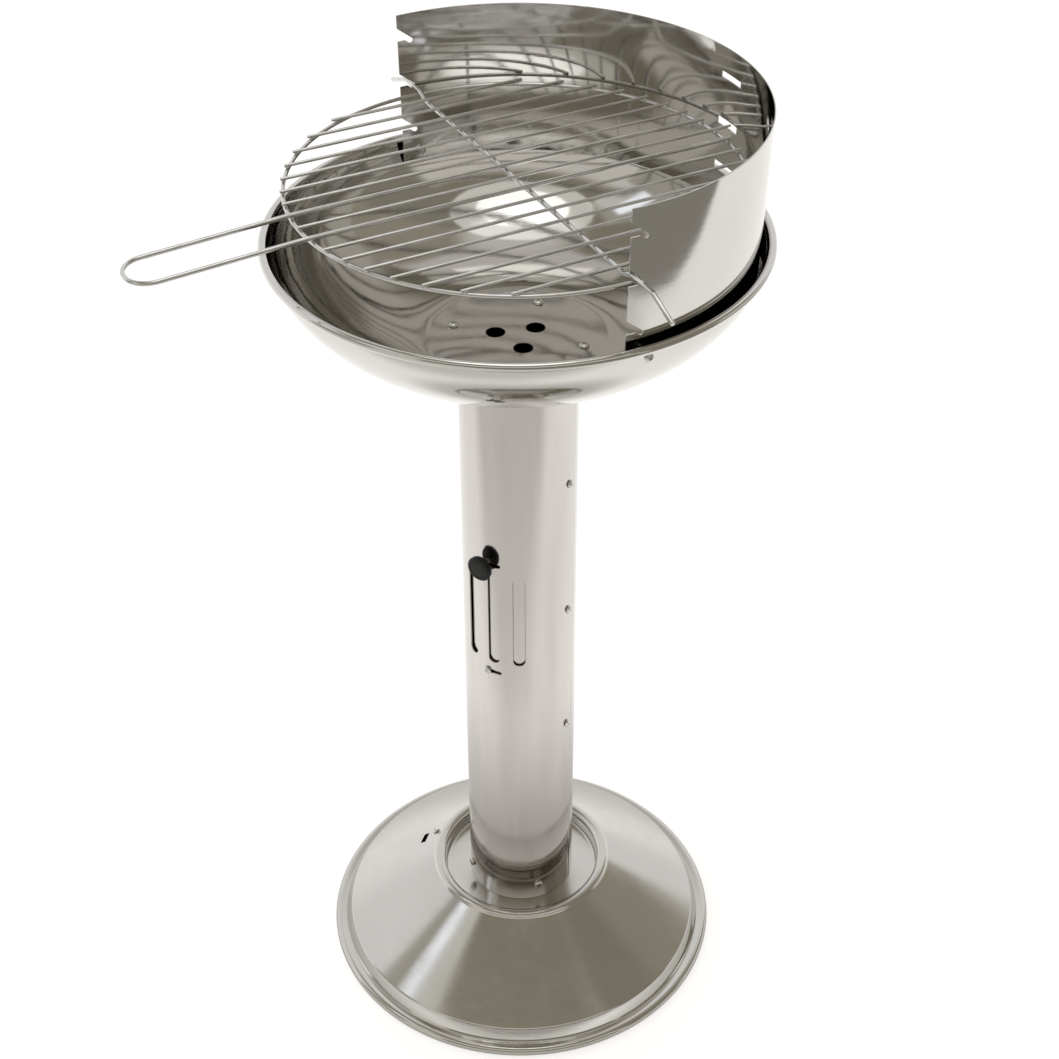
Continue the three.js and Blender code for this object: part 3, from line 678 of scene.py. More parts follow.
def brushed_steel():
    """The foot's finish, whose highlights stretch across its fine rings."""
    material, tree, shader = round_steel(
        "brushed_steel_look", BRUSHED, dullness=(0.1, 0.15), grain=900.0,
        grain_depth=0.00002, wave_depth=0.00025, bright_from=BRIGHT_RIM)
    shader.inputs["Anisotropic"].default_value = 0.9
    shader.inputs["Anisotropic Rotation"].default_value = 0.25
    tangent = add_node(tree, "ShaderNodeTangent", {"direction_type": "RADIAL", "axis": "Z"})
    tree.links.new(tangent.outputs["Tangent"], shader.inputs["Tangent"])
    return material


def column_steel():
    """Rolled sheet with a faint upright grain and soft upright bands."""
    material, tree, shader = new_material("column_steel_look", METAL)
    point = object_point(tree)
    grain = noise(tree, stretched(tree, point, (1.0, 1.0, 0.02)), 700.0, 4.0, 0.7)
    bands = noise(tree, stretched(tree, point, (1.0, 1.0, 0.12)), 26.0, 3.0, 0.5)
    smudges = noise(tree, point, 30.0, 5.0, 0.62)
    coloured(tree, shader, bands, COLUMN_SHEET)
    level = math_node(tree, "ADD", scaled(tree, smudges, 0.07, 0.11), scaled(tree, grain, 0.0, 0.03))
    tree.links.new(level, shader.inputs["Roughness"])
    first = bumped(tree, shader, bands, 0.0002)
    bumped(tree, shader, grain, 0.000015, before=first)
    return material


def spotted(name, fixed, colours, dullness, patch_scale, grain, depth):
    """A finish for small parts: patches of two colours and two sheens over a fine grain."""
    material, tree, shader = new_material(name, fixed)
    point = object_point(tree)
    patches = noise(tree, point, patch_scale, 4.0, 0.6)
    coloured(tree, shader, patches, colours)
    tree.links.new(scaled(tree, patches, *dullness), shader.inputs["Roughness"])
    bumped(tree, shader, noise(tree, point, *grain), depth)
    return material


mirror, _, _ = round_steel("mirror_steel_look", MIRROR, dullness=(0.03, 0.065), grain=520.0,
                           grain_depth=0.000008, wave_depth=0.0003)
brushed = brushed_steel()
column_finish = column_steel()
chrome = spotted("chrome_wire_look", METAL, CHROME, (0.1, 0.2), 60.0, (900.0, 3.0, 0.6), 0.00003)
zinc = spotted("zinc_screw_look", METAL, ZINC, (0.22, 0.38), 160.0, (1500.0, 3.0, 0.6), 0.00003)
plastic = spotted("black_plastic_look", DULL, PLASTIC, (0.36, 0.5), 120.0, (1900.0, 2.0, 0.5), 0.00004)


# Foot
def on_cone(radius, angle, lift=0.0):
    """Stands a shape made about +Z square to the cone, with its foot on the face."""
    height = CONE_EDGE[1] + (CONE_EDGE[0] - radius) * CONE_SLOPE
    tilt = Matrix.Rotation(math.atan(CONE_SLOPE), 4, "Y")
    return round_to(angle, height, radius) @ tilt @ Matrix.Translation((0, 0, lift))


def screw_holes(inner, outer, height):
    """Drills for the screws that hold the column to its foot or top ring."""
    return [radial_drill(hole_for(M5), inner - DRILL_REACH, outer + DRILL_REACH, angle, height)
            for angle in angles_round(FOOT_SCREWS, FOOT_SCREW_ANGLE)]


def make_foot():
    outer_curl = FOOT_RADIUS - CURL_RADIUS
    bead_middle = (CONE_TOP[0] + BEAD_INNER) / 2
    bead_round = (CONE_TOP[0] - BEAD_INNER) / 2
    bead_foot = BEAD_TOP - bead_round
    outer = arc((outer_curl - CURL_FLAT, CURL_RADIUS), CURL_RADIUS, CURL_START, -90, FILLET_STEPS)
    outer += arc((outer_curl, CURL_RADIUS), CURL_RADIUS, -90, CURL_END, CURL_STEPS)
    outer += filleted([
        (*outer[-1], 0), (STEP_RADIUS + STEP_FLARE, BRIM_HEIGHT, BRIM_ROUND),
        (STEP_RADIUS - STEP_DRAFT, STEP_TOP, STEP_ROUND),
        (*CONE_EDGE, CONE_EDGE_ROUND), (*CONE_TOP, CONE_TOP_ROUND),
        (CONE_TOP[0] - BEAD_SET_IN, BEAD_TOP - bead_round * BEAD_RISE_SHARE, 0),
    ])[1:]
    outer += arc((bead_middle, bead_foot), bead_round, BEAD_START, BEAD_END, BEAD_STEPS)
    outer += filleted([
        (BEAD_INNER, bead_foot - BEAD_DROP, 0), (BEAD_INNER, RECESS_HEIGHT, RECESS_ROUND),
        (NECK_RADIUS, RECESS_HEIGHT, NECK_ROUND), (NECK_RADIUS, RECESS_HEIGHT + NECK_RISE, 0),
    ])
    foot = make("foot_cone_look", spun(outer + offset(outer, SHEET)[::-1]))
    slot = moved(block((*SLOT_SIZE, OVERRUN * 2)), on_cone(SLOT_RADIUS, SLOT_ANGLE))
    hole = moved(upright_drill(hole_for(M4), -OVERRUN, OVERRUN),
                 on_cone(SLOT_SCREW_RADIUS, SLOT_SCREW_ANGLE))
    boolean(foot, screw_holes(NECK_INNER, NECK_RADIUS, FOOT_SCREW_HEIGHT) + [slot, hole])
    smooth(foot, FOOT_CREASE)
    finish_piece(foot, brushed, "stand", "brushed_steel", "foot_cone")


# Column
def strip_face(outer_radius, lap_radius):
    """One face of the rolled strip, whose end steps inward under the seam."""
    overlap = math.degrees(SEAM_OVERLAP / COLUMN_RADIUS)
    joggle = math.degrees(SHEET * 2 / COLUMN_RADIUS)
    start = SEAM_ANGLE + overlap / 2
    lap_start = start - 360
    face = arc((0, 0), outer_radius, start, lap_start + joggle, ROUND_STEPS)
    return face + arc((0, 0), lap_radius, lap_start, lap_start - overlap, BEND_STEPS)


def stadium(across, upright, angle, height, start, end):
    """A slot with round ends, cut along the radius at an angle and height."""
    radius = min(across, upright) / 2
    side, rise = across / 2 - radius, upright / 2 - radius
    turn = -90 if across > upright else 0
    outline = arc((side, rise), radius, turn, turn + 180, BEND_STEPS)
    outline += arc((-side, -rise), radius, turn + 180, turn + 360, BEND_STEPS)
    upright_face = Matrix(((0, 0, 1, 0), (1, 0, 0, 0), (0, 1, 0, 0), (0, 0, 0, 1)))
    return moved(prism(outline, start, end), round_to(angle, height) @ upright_face)


def vent_slots(turn_back, start, end):
    middle = VENT_MIDDLE - turn_back
    return [stadium(VENT_WIDTH, VENT_LENGTH, middle + VENT_PITCH * step, VENT_HEIGHT, start, end)
            for step in (-1, 0, 1)]


def make_column():
    outline = strip_face(COLUMN_INNER, LAP_INNER) + strip_face(COLUMN_RADIUS, LAP_OUTER)[::-1]
    column = make("column_tube_look", prism(outline, COLUMN_FOOT, COLUMN_TOP))
    low, high = LAP_INNER - DRILL_REACH, COLUMN_RADIUS + DRILL_REACH
    travel_length = VENT_WIDTH + VENT_LAP + TRAVEL_SLOT
    travel_middle = STEM_ANGLE + VENT_TRAVEL / 2
    cuts = vent_slots(0, low, high)
    for height in (KNOB_HEIGHT, GUIDE_HEIGHT):
        cuts.append(stadium(travel_length, TRAVEL_SLOT, travel_middle, height, low, high))
    for height in SEAM_HEIGHTS:
        cuts.append(radial_drill(hole_for(M4), low, high, SEAM_ANGLE, height))
    for height in (FOOT_SCREW_HEIGHT, TOP_SCREW_HEIGHT):
        cuts += screw_holes(LAP_INNER, COLUMN_RADIUS, height)
    boolean(column, cuts)
    true_normals(column)
    finish_piece(column, column_finish, "stand", "column_steel", "column_tube")


def make_sleeve():
    side_lap = math.degrees((VENT_WIDTH / 2 + SLEEVE_SIDE_LAP) / SLEEVE_RADIUS)
    half = VENT_PITCH + VENT_TRAVEL + side_lap
    inner = SLEEVE_RADIUS - SHEET
    outline = arc((0, 0), SLEEVE_RADIUS, -half, half, SLEEVE_STEPS)
    outline += arc((0, 0), inner, half, -half, SLEEVE_STEPS)
    place = round_to(VENT_MIDDLE, VENT_HEIGHT - SLEEVE_HEIGHT / 2)
    sleeve = make("vent_sleeve_look", moved(prism(outline, 0, SLEEVE_HEIGHT), place))
    low, high = inner - DRILL_REACH, SLEEVE_RADIUS + DRILL_REACH
    cuts = vent_slots(VENT_TRAVEL, low, high)
    for height in (KNOB_HEIGHT, GUIDE_HEIGHT):
        cuts.append(radial_drill(hole_for(M4), low, high, STEM_ANGLE, height))
    boolean(sleeve, cuts)
    true_normals(sleeve)
    finish_piece(sleeve, column_finish, "vent", "brushed_steel", "vent_sleeve")


def make_knob():
    front = [(KNOB_RADIUS - inset, KNOB_FACE - back, fillet) for inset, back, fillet in KNOB_FRONT]
    profile = [(0, KNOB_BACK)] + filleted([
        (KNOB_RADIUS - KNOB_BACK_INSET, KNOB_BACK, 0),
        (KNOB_RADIUS - KNOB_BACK_ROUND, KNOB_BACK, KNOB_BACK_ROUND),
        *front, (KNOB_CROWN, KNOB_FACE, KNOB_CROWN), (0, KNOB_FACE, 0),
    ], 5)
    place = radial_place(0, STEM_ANGLE, KNOB_HEIGHT)
    knob = make("vent_knob_look", moved(spun(profile, KNOB_STEPS), place))
    low, high = KNOB_BACK - DRILL_REACH, KNOB_FACE - KNOB_BOLT_DEPTH + SEAT_GAP
    boolean(knob, [radial_drill(hole_for(M4), low, high, STEM_ANGLE, KNOB_HEIGHT)])
    smooth(knob, SHEET_CREASE)
    finish_piece(knob, plastic, "vent", "black_plastic", "vent_knob")


# Bowl and the ring under it
def bowl_wall():
    """The wall's outer line, curving from the edge of the floor up to the rim."""
    points = []
    for index in range(BOWL_STEPS + 1):
        angle = math.radians(90) * (1 - index / BOWL_STEPS)
        across = max(math.cos(angle), 0.0) ** BOWL_EXPONENT
        down = math.sin(angle) ** BOWL_EXPONENT
        points.append((BOWL_FLOOR_RADIUS + (BOWL_WALL_RADIUS - BOWL_FLOOR_RADIUS) * across,
                       BOWL_WALL_TOP - (BOWL_WALL_TOP - BOWL_FLOOR) * down))
    return points


def bolt_holes(low, high):
    return [moved(upright_drill(hole_for(M5), low, high), round_to(angle, 0, BOLT_CIRCLE))
            for angle in angles_round(BOLTS, BOLT_ANGLE)]


def shield_holes():
    """Drills through the bowl and the shield for the screws that join them."""
    low, high = SHIELD_FOOT_RADIUS - OVERRUN, SHIELD_TOP_RADIUS + OVERRUN
    return [radial_drill(hole_for(M4), low, high, angle, SHIELD_SCREW_HEIGHT)
            for angle in SHIELD_SCREW_ANGLES]


def make_bowl():
    wall = [(radius, BOWL_FLOOR) for radius in BOWL_FLOOR_RINGS] + bowl_wall()
    centre = (BOWL_RIM_RADIUS - RIM_ROUND, BOWL_RIM_TOP - RIM_ROUND)
    roll = arc(centre, RIM_ROUND, RIM_START, 180, RIM_STEPS)
    outer = [point for point in wall if point[1] < roll[0][1] - RIM_OUTER_JOIN]
    inner = [point for point in offset(wall, SHEET)[::-1] if point[1] < centre[1] - RIM_INNER_JOIN]
    bowl = make("fire_bowl_look", spun(outer + roll + inner))
    low, high = BOWL_FLOOR - PUNCH_REACH, BOWL_FLOOR + PUNCH_REACH
    air_hole = upright_drill(AIR_HOLE_RADIUS, low, high, AIR_HOLE_STEPS)
    air_holes = [moved(air_hole, round_to(angle, 0, AIR_HOLE_CIRCLE))
                 for angle in angles_round(AIR_HOLES, AIR_HOLE_ANGLE)]
    boolean(bowl, air_holes + bolt_holes(low, high) + shield_holes())
    smooth(bowl, SHEET_CREASE)
    finish_piece(bowl, mirror, "stand", "mirror_steel", "fire_bowl")


def make_top_ring():
    foot = TOP_RING_HEIGHT - COLLAR_DEPTH
    top = TOP_RING_HEIGHT + SHEET
    profile = filleted([
        (NECK_RADIUS, foot, 0), (NECK_RADIUS, TOP_RING_HEIGHT, COLLAR_ROUND),
        (TOP_RING_RADIUS, TOP_RING_HEIGHT, TOP_RING_ROUND), (TOP_RING_RADIUS, top, TOP_RING_ROUND),
        (NECK_INNER, top, COLLAR_INNER_ROUND), (NECK_INNER, foot, 0),
    ], 4)
    ring = make("column_top_ring_look", spun(profile, TOP_RING_STEPS))
    cuts = screw_holes(NECK_INNER, NECK_RADIUS, TOP_SCREW_HEIGHT) + bolt_holes(foot, top + PUNCH_REACH)
    boolean(ring, cuts)
    smooth(ring, SHEET_CREASE)
    finish_piece(ring, brushed, "stand", "brushed_steel", "column_top_ring")


# Wind shield
def shield_radius(height):
    return SHIELD_FOOT_RADIUS + (height - SHIELD_FOOT) * SHIELD_RISE


def notch(height):
    """Cutter for the pair of notches at one height, with the tooth that holds the bar in."""
    slope = math.radians(NOTCH_SLOPE)
    side = (NOTCH_RADIUS * math.sin(slope), NOTCH_RADIUS * math.cos(slope))
    mouth = SHIELD_END - OVERRUN
    mouth_top = side[1] + (side[0] - mouth) * math.tan(slope)
    corner = -side[0] - (TOOTH_RISE + side[1]) / math.tan(slope)
    outline = arc((0, 0), NOTCH_RADIUS, -90 - NOTCH_SLOPE, 90 - NOTCH_SLOPE, BEND_STEPS)
    outline += [(mouth, mouth_top), (mouth, TOOTH_RISE), (corner, TOOTH_RISE)]
    reach = SHIELD_TOP_RADIUS + OVERRUN
    across = Matrix(((1, 0, 0, 0), (0, 0, -1, 0), (0, 1, 0, 0), (0, 0, 0, 1)))
    return moved(prism(outline, -reach, reach), Matrix.Translation((0, 0, height)) @ across)


def rear_slot(height):
    travel = shield_radius(SEAT_HEIGHT) + REAR_POKE - shield_radius(height) + SHEET
    foot = height - SEAT_HEIGHT + ROD_HEIGHT - ROD_WIRE - SEAT_GAP
    span = ROD_WIRE * 2 + travel * math.tan(math.radians(NOTCH_SLOPE)) + SEAT_GAP * 3
    return block((OVERRUN * 2, REAR_SLOT_LENGTH, span), (shield_radius(height), 0, foot + span / 2))


def make_shield():
    profile = filleted([
        (SHIELD_FOOT_RADIUS, SHIELD_FOOT, 0), (SHIELD_TOP_RADIUS, SHIELD_TOP, EDGE_ROUND),
        (SHIELD_TOP_RADIUS - SHEET, SHIELD_TOP, EDGE_ROUND), (SHIELD_FOOT_RADIUS - SHEET, SHIELD_FOOT, 0),
    ], 3)
    shield = make("wind_shield_look", spun(profile))
    width = (SHIELD_TOP_RADIUS + OVERRUN) * 2
    middle = (SHIELD_END - width / 2, 0, (SHIELD_FOOT + SHIELD_TOP) / 2)
    boolean(shield, [block((width, width, width), middle)])
    heights = [SEAT_HEIGHT + step * NOTCH_PITCH for step in (-1, 0, 1)]
    cuts = [notch(height) for height in heights] + [rear_slot(height) for height in heights]
    boolean(shield, cuts + shield_holes())
    true_normals(shield, SHIELD_RISE)
    finish_piece(shield, mirror, "stand", "mirror_steel", "wind_shield")


# Wires: straight stretches with a rounded bend at each corner
def bent(corners, radius, steps=12):
    return rounded(corners, [radius] * len(corners), steps)


def stations_along(points, radius):
    """Places and radii along an open wire, which narrows at both ends."""
    first = (points[1] - points[0]).normalized()
    last = (points[-1] - points[-2]).normalized()
    start, end = [], []
    for share in WIRE_END_STEPS:
        inward = radius * WIRE_END_DEPTH * (1 - share)
        width = radius * math.sqrt(1 - share ** 2 * WIRE_END_ROUND)
        start.append((points[0] + first * inward, width))
        end.insert(0, (points[-1] - last * inward, width))
    return start + [(point, radius) for point in points[1:-1]] + end


def wire(points, radius, closed=False):
    """A round wire along the points, either a ring or with its ends rounded off."""
    points = [Vector(point) for point in points]
    stations = [(point, radius) for point in points] if closed else stations_along(points, radius)
    count, sides = len(stations), WIRE_SIDES
    places = [place for place, width in stations]
    run = [places[-1], *places, places[0]] if closed else [places[0], *places, places[-1]]
    tangents = [(after - before).normalized() for before, after in zip(run, run[2:])]
    normal = Vector((0, 0, 1)) if closed else tangents[0].orthogonal().normalized()
    verts, faces = [], []
    for tangent, (place, width) in zip(tangents, stations):
        normal = (normal - tangent * normal.dot(tangent)).normalized()
        binormal = tangent.cross(normal)
        for side in range(sides):
            angle = FULL_TURN * side / sides
            spoke = normal * math.cos(angle) + binormal * math.sin(angle)
            verts.append(tuple(place + spoke * width))
    for index in range(count if closed else count - 1):
        after = (index + 1) % count
        for side in range(sides):
            following = (side + 1) % sides
            faces.append([index * sides + side, index * sides + following,
                          after * sides + following, after * sides + side])
    if not closed:
        faces.append(list(range(sides))[::-1])
        faces.append(list(range((count - 1) * sides, count * sides)))
    return verts, faces


def add_wire(name, node, shape):
    piece = make(name, shape)
    smooth(piece, WIRE_CREASE)
    finish_piece(piece, chrome, "grate", "chrome_wire", node)


def mirrored_run(corners):
    return corners + [(x, -y, z) for x, y, z in reversed(corners)]


def rod_end(across):
    return math.sqrt((RING_RADIUS + ROD_OVERHANG) ** 2 - across ** 2)


def blob(place, width, height):
    """A weld: a small flattened drop between two wires."""
    sides = [(x * width, y * height) for x, y in arc((0, 0), 1, -WELD_REACH, WELD_REACH, WELD_STEPS)]
    return moved(spun([(0, -height)] + sides + [(0, height)], WELD_SIDES), Matrix.Translation(place))


def make_rods():
    """The straight rods, numbered across. The handle's two wires fill the places beside the middle."""
    number = 0
    for step in ROD_PLACES:
        if abs(step) == 1:
            continue
        number += 1
        across = step * ROD_PITCH
        rear = shield_radius(SEAT_HEIGHT) + REAR_POKE if step == 0 else rod_end(across)
        line = [(x, across, ROD_HEIGHT) for x in (-rod_end(across), 0, rear)]
        add_wire(f"grate_rod_look_{number}", f"grate_rod_{number}", wire(line, ROD_WIRE))


def make_welds():
    welds = []
    for step in ROD_PLACES:
        across = step * ROD_PITCH
        ring_x = math.sqrt(RING_RADIUS ** 2 - across ** 2)
        for side in (-1, 1):
            welds.append(blob((side * ring_x, across, RING_HEIGHT + RING_WIRE), *RING_WELD))
        welds.append(blob((0, across, BAR_HEIGHT + BAR_WIRE), *BAR_WELD))
    piece = make("grate_welds", together(welds))
    smooth(piece, WELD_CREASE)
    finish_piece(piece, chrome, "grate", "chrome_wire")


def make_grate():
    ring = [(x, y, RING_HEIGHT) for x, y in arc((0, 0), RING_RADIUS, 0, 360, GRATE_STEPS)[:-1]]
    add_wire("grate_ring_look", "grate_ring", wire(ring, RING_WIRE, closed=True))
    make_rods()
    hook = SHIELD_TOP_RADIUS + HOOK_SET_OFF
    line = bent(mirrored_run([
        (0, hook + HOOK_SPREAD, SEAT_HEIGHT - HOOK_DROP), (0, hook, SEAT_HEIGHT),
        (0, RING_RADIUS - RING_WIRE * 2 - SEAT_GAP, SEAT_HEIGHT),
        (0, ROD_PLACES[-1] * ROD_PITCH + ROD_WIRE + BAR_WIRE * 2, BAR_HEIGHT),
    ]), HOOK_BEND)
    add_wire("grate_cross_bar_look", "grate_cross_bar", wire(line, BAR_WIRE))
    line = bent(mirrored_run([
        (rod_end(ROD_PITCH), ROD_PITCH, HANDLE_HEIGHT),
        (-RING_RADIUS - ROD_OVERHANG, ROD_PITCH, HANDLE_HEIGHT),
        (BAR_WIRE - HANDLE_REACH, ROD_PITCH, HANDLE_HEIGHT - HANDLE_DROP),
    ]), ROD_PITCH - BAR_WIRE / 2, HANDLE_STEPS)
    add_wire("grate_handle_look", "grate_handle", wire(line, BAR_WIRE))
    make_welds()


# Fasteners
def pan_head(size, shank_length):
    """A pan-head screw about +Z: the head's underside at zero and the shank below it."""
    shank, head, rise = size[0] / 2, size[1] / 2, size[2]
    dome = [(head * across, rise * up, fillet) for across, up, fillet in HEAD_DOME]
    profile = [(0, -shank_length)] + filleted([
        (shank - SHANK_CHAMFER, -shank_length, 0),
        (shank, -shank_length + SHANK_CHAMFER, HEAD_EDGE_ROUND), (shank, 0, HEAD_EDGE_ROUND),
        (head - HEAD_EDGE_ROUND, 0, HEAD_EDGE_ROUND), (head, HEAD_BAND, HEAD_BAND_ROUND),
        *dome, (HEAD_FLAT, rise, HEAD_FLAT_ROUND), (0, rise, 0),
    ], 4)
    return spun(profile, SCREW_STEPS)


def cross_recess(size):
    """The cross-shaped recess of a screw head, narrower at its bottom."""
    half, arm = size[1] * CROSS_REACH, size[1] * CROSS_WIDTH
    outline = [(half, -arm), (half, arm), (arm, arm), (arm, half), (-arm, half), (-arm, arm),
               (-half, arm), (-half, -arm), (-arm, -arm), (-arm, -half), (arm, -half), (arm, -arm)]
    verts, faces = prism(outline, size[2] * (1 - CROSS_DEPTH), size[2] + 1)
    narrow = [(x * CROSS_TAPER, y * CROSS_TAPER, z) if z < size[2] else (x, y, z) for x, y, z in verts]
    return narrow, faces


def shape_of(piece):
    """Takes a finished piece apart into its points and faces, and removes it."""
    points = [((v.co.x / MM) - AXIS_X, v.co.y / MM, v.co.z / MM) for v in piece.data.vertices]
    faces = [list(polygon.vertices) for polygon in piece.data.polygons]
    remove_piece(piece)
    return points, faces


@lru_cache
def screw_shape(size, shank_length):
    screw = make("screw_pattern", pan_head(size, shank_length))
    boolean(screw, [cross_recess(size)])
    return shape_of(screw)


@lru_cache
def nut_shape(width, thickness, bore):
    """A hexagon nut about +Z, its top face at zero, with rounded-off corners."""
    corner = width / math.sqrt(3)
    drop = (corner - width / 2) * NUT_CORNER_DROP
    low, high = -thickness - DRILL_REACH, DRILL_REACH
    nut = make("nut_pattern", spun([
        (0, -thickness), (width / 2, -thickness), (corner, drop - thickness),
        (corner, -drop), (width / 2, 0), (0, 0),
    ], NUT_STEPS))
    boolean(nut, [upright_drill(corner, low, high, 6)], "INTERSECT")
    boolean(nut, [upright_drill(bore / 2 + SEAT_GAP, low, high)])
    return shape_of(nut)


def add_fastener(node, shape, place, crease, body):
    piece = make(f"{node}_look", moved(shape, place))
    smooth(piece, crease)
    finish_piece(piece, zinc, body, "zinc_screw", node)


def add_screw(node, size, shank_length, place, body="stand"):
    """Adds a screw, its cross turned by an angle that comes from its node's name."""
    turn = Matrix.Rotation(math.radians(sum(map(ord, node)) * CROSS_TURN % 90), 4, "Z")
    add_fastener(node, screw_shape(size, shank_length), place @ turn, SCREW_CREASE, body)


def add_nut(node, size, place, body="stand"):
    add_fastener(node, nut_shape(*size), place, NUT_CREASE, body)


def fasten_stand():
    seat = COLUMN_RADIUS + SEAT_GAP
    length = seat - NECK_INNER + SHANK_PAST_SHEET
    for index, angle in enumerate(angles_round(FOOT_SCREWS, FOOT_SCREW_ANGLE), 1):
        add_screw(f"foot_screw_{index}", M5, length, radial_place(seat, angle, FOOT_SCREW_HEIGHT))
        add_screw(f"top_screw_{index}", M5, length, radial_place(seat, angle, TOP_SCREW_HEIGHT))
    length = seat - LAP_INNER + SHANK_PAST_SHEET
    for index, height in enumerate(SEAM_HEIGHTS, 1):
        add_screw(f"seam_screw_{index}", M4, length, radial_place(seat, SEAM_ANGLE, height))
    nut_drop = SHEET + SEAT_GAP
    length = SEAT_GAP + nut_drop + M4_NUT[1] + SHANK_PAST_NUT
    place = on_cone(SLOT_SCREW_RADIUS, SLOT_SCREW_ANGLE, SEAT_GAP)
    add_screw("foot_slot_screw", M4, length, place)
    add_nut("foot_slot_nut", M4_NUT, on_cone(SLOT_SCREW_RADIUS, SLOT_SCREW_ANGLE, -nut_drop))
    head = BOWL_FLOOR + SHEET + SEAT_GAP
    nut_top = TOP_RING_HEIGHT - SEAT_GAP
    length = head - nut_top + M5_NUT[1] + SHANK_PAST_NUT
    for index, angle in enumerate(angles_round(BOLTS, BOLT_ANGLE), 1):
        add_screw(f"bowl_bolt_{index}", M5, length, round_to(angle, head, BOLT_CIRCLE))
        add_nut(f"bowl_nut_{index}", M5_NUT, round_to(angle, nut_top, BOLT_CIRCLE))


def fasten_vent():
    seat = COLUMN_RADIUS + GUIDE_SCREW_GAP
    nut_seat = SLEEVE_RADIUS - SHEET - SEAT_GAP
    length = seat - nut_seat + M4_NUT[1] + SHANK_PAST_NUT
    add_screw("vent_guide_screw", M4, length, radial_place(seat, STEM_ANGLE, GUIDE_HEIGHT), "vent")
    add_nut("vent_guide_nut", M4_NUT, radial_place(nut_seat, STEM_ANGLE, GUIDE_HEIGHT), "vent")
    inward = radial_place(nut_seat, STEM_ANGLE, KNOB_HEIGHT) @ Matrix.Rotation(math.pi, 4, "X")
    add_screw("vent_knob_bolt", M4, KNOB_FACE - KNOB_BOLT_DEPTH - nut_seat, inward, "vent")
    place = radial_place(seat + M4_NUT[1], STEM_ANGLE, KNOB_HEIGHT)
    add_nut("vent_knob_nut", M4_NUT, place, "vent")


def fasten_shield(node, part, angle):
    """Reads how far out the solid reaches, and puts the finer piece there."""
    out = Vector((math.cos(math.radians(angle)), math.sin(math.radians(angle)), 0))
    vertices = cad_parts[node].data.vertices
    reaches = [(vertex.co - Vector(AXIS)).dot(out) / MM for vertex in vertices]
    low, high = min(reaches), max(reaches)
    if part == "screw":
        head = high - M4[2]
        add_screw(node, M4, head - low, radial_place(head, angle, SHIELD_SCREW_HEIGHT))
    else:
        width = SPACER_WIDTH if part == "spacer" else M4_NUT[0]
        place = radial_place(high, angle, SHIELD_SCREW_HEIGHT)
        add_nut(node, (width, high - low, M4[0]), place)


make_foot()
make_column()
make_sleeve()
make_knob()
make_bowl()
make_top_ring()
make_shield()
make_grate()
fasten_stand()
fasten_vent()
for index, angle in enumerate(SHIELD_SCREW_ANGLES, 1):
    for part in ("screw", "spacer", "nut"):
        fasten_shield(f"shield_{part}_{index}", part, angle)


# Floor, light and camera
def make_floor():
    """A pale floor that keeps its shadows and glows, white to the camera and less in reflections."""
    half, low = FLOOR_HALF, FLOOR_LEVEL
    mesh = bpy.data.meshes.new("floor")
    mesh.from_pydata([(-half, -half, low), (half, -half, low), (half, half, low), (-half, half, low)],
                     [], [(0, 1, 2, 3)])
    floor = add_object("floor", mesh)
    material, tree, shader = new_material("floor_look", FLOOR_FIXED)
    path = add_node(tree, "ShaderNodeLightPath").outputs
    point = object_point(tree)
    away = reach_from_axis(tree)
    # painted shade: the reflected glow dims towards the camera's side
    dimness = eased(tree, along(tree, point, DIM_SIDE), *DIM_REACH)
    beyond = eased(tree, along(tree, point, SHEET_SIDE), *SHEET_REACH)
    # painted contact shadow: the reflected glow fades beside the foot
    shade = scaled(tree, eased(tree, away, *FOOT_SHADE_REACH), FOOT_SHADE_SHARE, 1.0, 0.0, 1.0)
    mirrored = math_node(tree, "MAXIMUM", path["Is Glossy Ray"], path["Is Transmission Ray"])
    share = product(tree, scaled(tree, dimness, 1.0, DIM_SHARE, 0.0, 1.0),
                    math_node(tree, "SUBTRACT", 1.0, beyond), shade, mirrored)
    seen = math_node(tree, "ADD", path["Is Camera Ray"], share)
    glow = product(tree, seen, FLOOR_GLOW, eased(tree, away, *UNDER_FOOT))
    tree.links.new(glow, shader.inputs["Emission Strength"])
    colour = mixed(tree, product(tree, beyond, mirrored), *FLOOR_COLOURS)
    tree.links.new(colour, shader.inputs["Base Color"])
    mesh.materials.append(material)


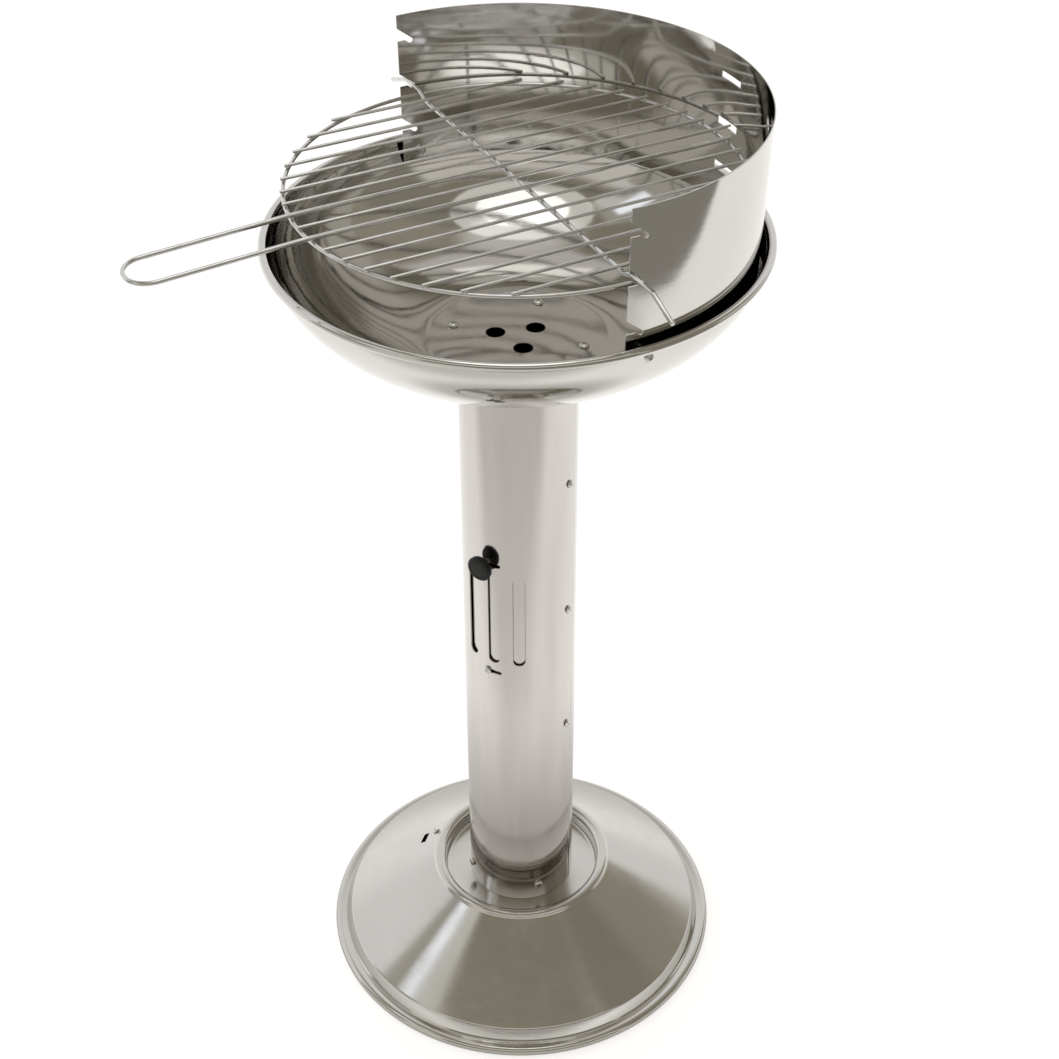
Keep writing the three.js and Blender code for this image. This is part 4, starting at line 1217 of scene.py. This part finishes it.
def make_world():
    """Paints the studio by direction alone: the surround first, and each stretch over it."""
    world = bpy.data.worlds.new("studio")
    bpy.context.scene.world = world
    world.use_nodes = True
    tree = world.node_tree
    direction = add_node(tree, "ShaderNodeTexCoord").outputs["Generated"]
    height = add_node(tree, "ShaderNodeSeparateXYZ", inputs={"Vector": direction}).outputs["Z"]
    level = add_node(tree, "ShaderNodeVectorMath", {"operation": "NORMALIZE"}, {
        0: flattened(tree, direction),
    }).outputs["Vector"]
    elevation = math_node(tree, "DEGREES", math_node(tree, "ARCSINE", height))
    sky = SURROUND
    for azimuth, half_width, foot, top, soft, colour in STUDIO:
        angle = math.radians(azimuth)
        facing = along(tree, level, (math.cos(angle), math.sin(angle)))
        aside = math_node(tree, "DEGREES", math_node(tree, "ARCCOSINE", facing))
        share = product(tree, eased(tree, aside, half_width + soft / 2, half_width - soft / 2),
                        eased(tree, elevation, foot - soft / 2, foot + soft / 2),
                        eased(tree, elevation, top + soft / 2, top - soft / 2))
        sky = mixed(tree, share, sky, colour)
    background = tree.nodes["Background"]
    tree.links.new(sky, background.inputs["Color"])
    background.inputs["Strength"].default_value = 1.0


def add_lamp(name, height, size, power):
    light = bpy.data.lights.new(name, "AREA")
    light.shape = "ELLIPSE"
    light.size, light.size_y = size
    light.energy = power
    light.color = LAMP_COLOUR
    lamp = add_object(name, light)
    place = Vector((*LAMP_PLACE, height))
    lamp.location = place
    lamp.rotation_mode = "QUATERNION"
    lamp.rotation_quaternion = (Vector(LAMP_AIM) - place).to_track_quat("-Z", "Y")


def make_camera():
    azimuth, heading = math.radians(CAMERA_AZIMUTH), math.radians(CAMERA_HEADING)
    pitch, roll = math.radians(CAMERA_PITCH), math.radians(CAMERA_ROLL)
    data = bpy.data.cameras.new("camera")
    camera = add_object("camera", data)
    bpy.context.scene.camera = camera
    camera.location = (AXIS[0] + CAMERA_REACH * math.cos(azimuth), CAMERA_REACH * math.sin(azimuth),
                       CAMERA_HEIGHT)
    forward = Vector((math.cos(heading) * math.cos(pitch), math.sin(heading) * math.cos(pitch),
                      math.sin(pitch)))
    level_right = Vector((math.sin(heading), -math.cos(heading), 0))
    level_up = level_right.cross(forward)
    right = level_right * math.cos(roll) + level_up * math.sin(roll)
    up = level_up * math.cos(roll) - level_right * math.sin(roll)
    camera.rotation_mode = "QUATERNION"
    camera.rotation_quaternion = Matrix((right, up, -forward)).transposed().to_quaternion()
    data.sensor_width = CAMERA_SENSOR
    data.lens = CAMERA_LENS
    data.clip_start, data.clip_end = CAMERA_CLIP


make_floor()
make_world()
for lamp in LAMPS:
    add_lamp(*lamp)
make_camera()
bpy.context.scene.view_settings.view_transform = "Standard"
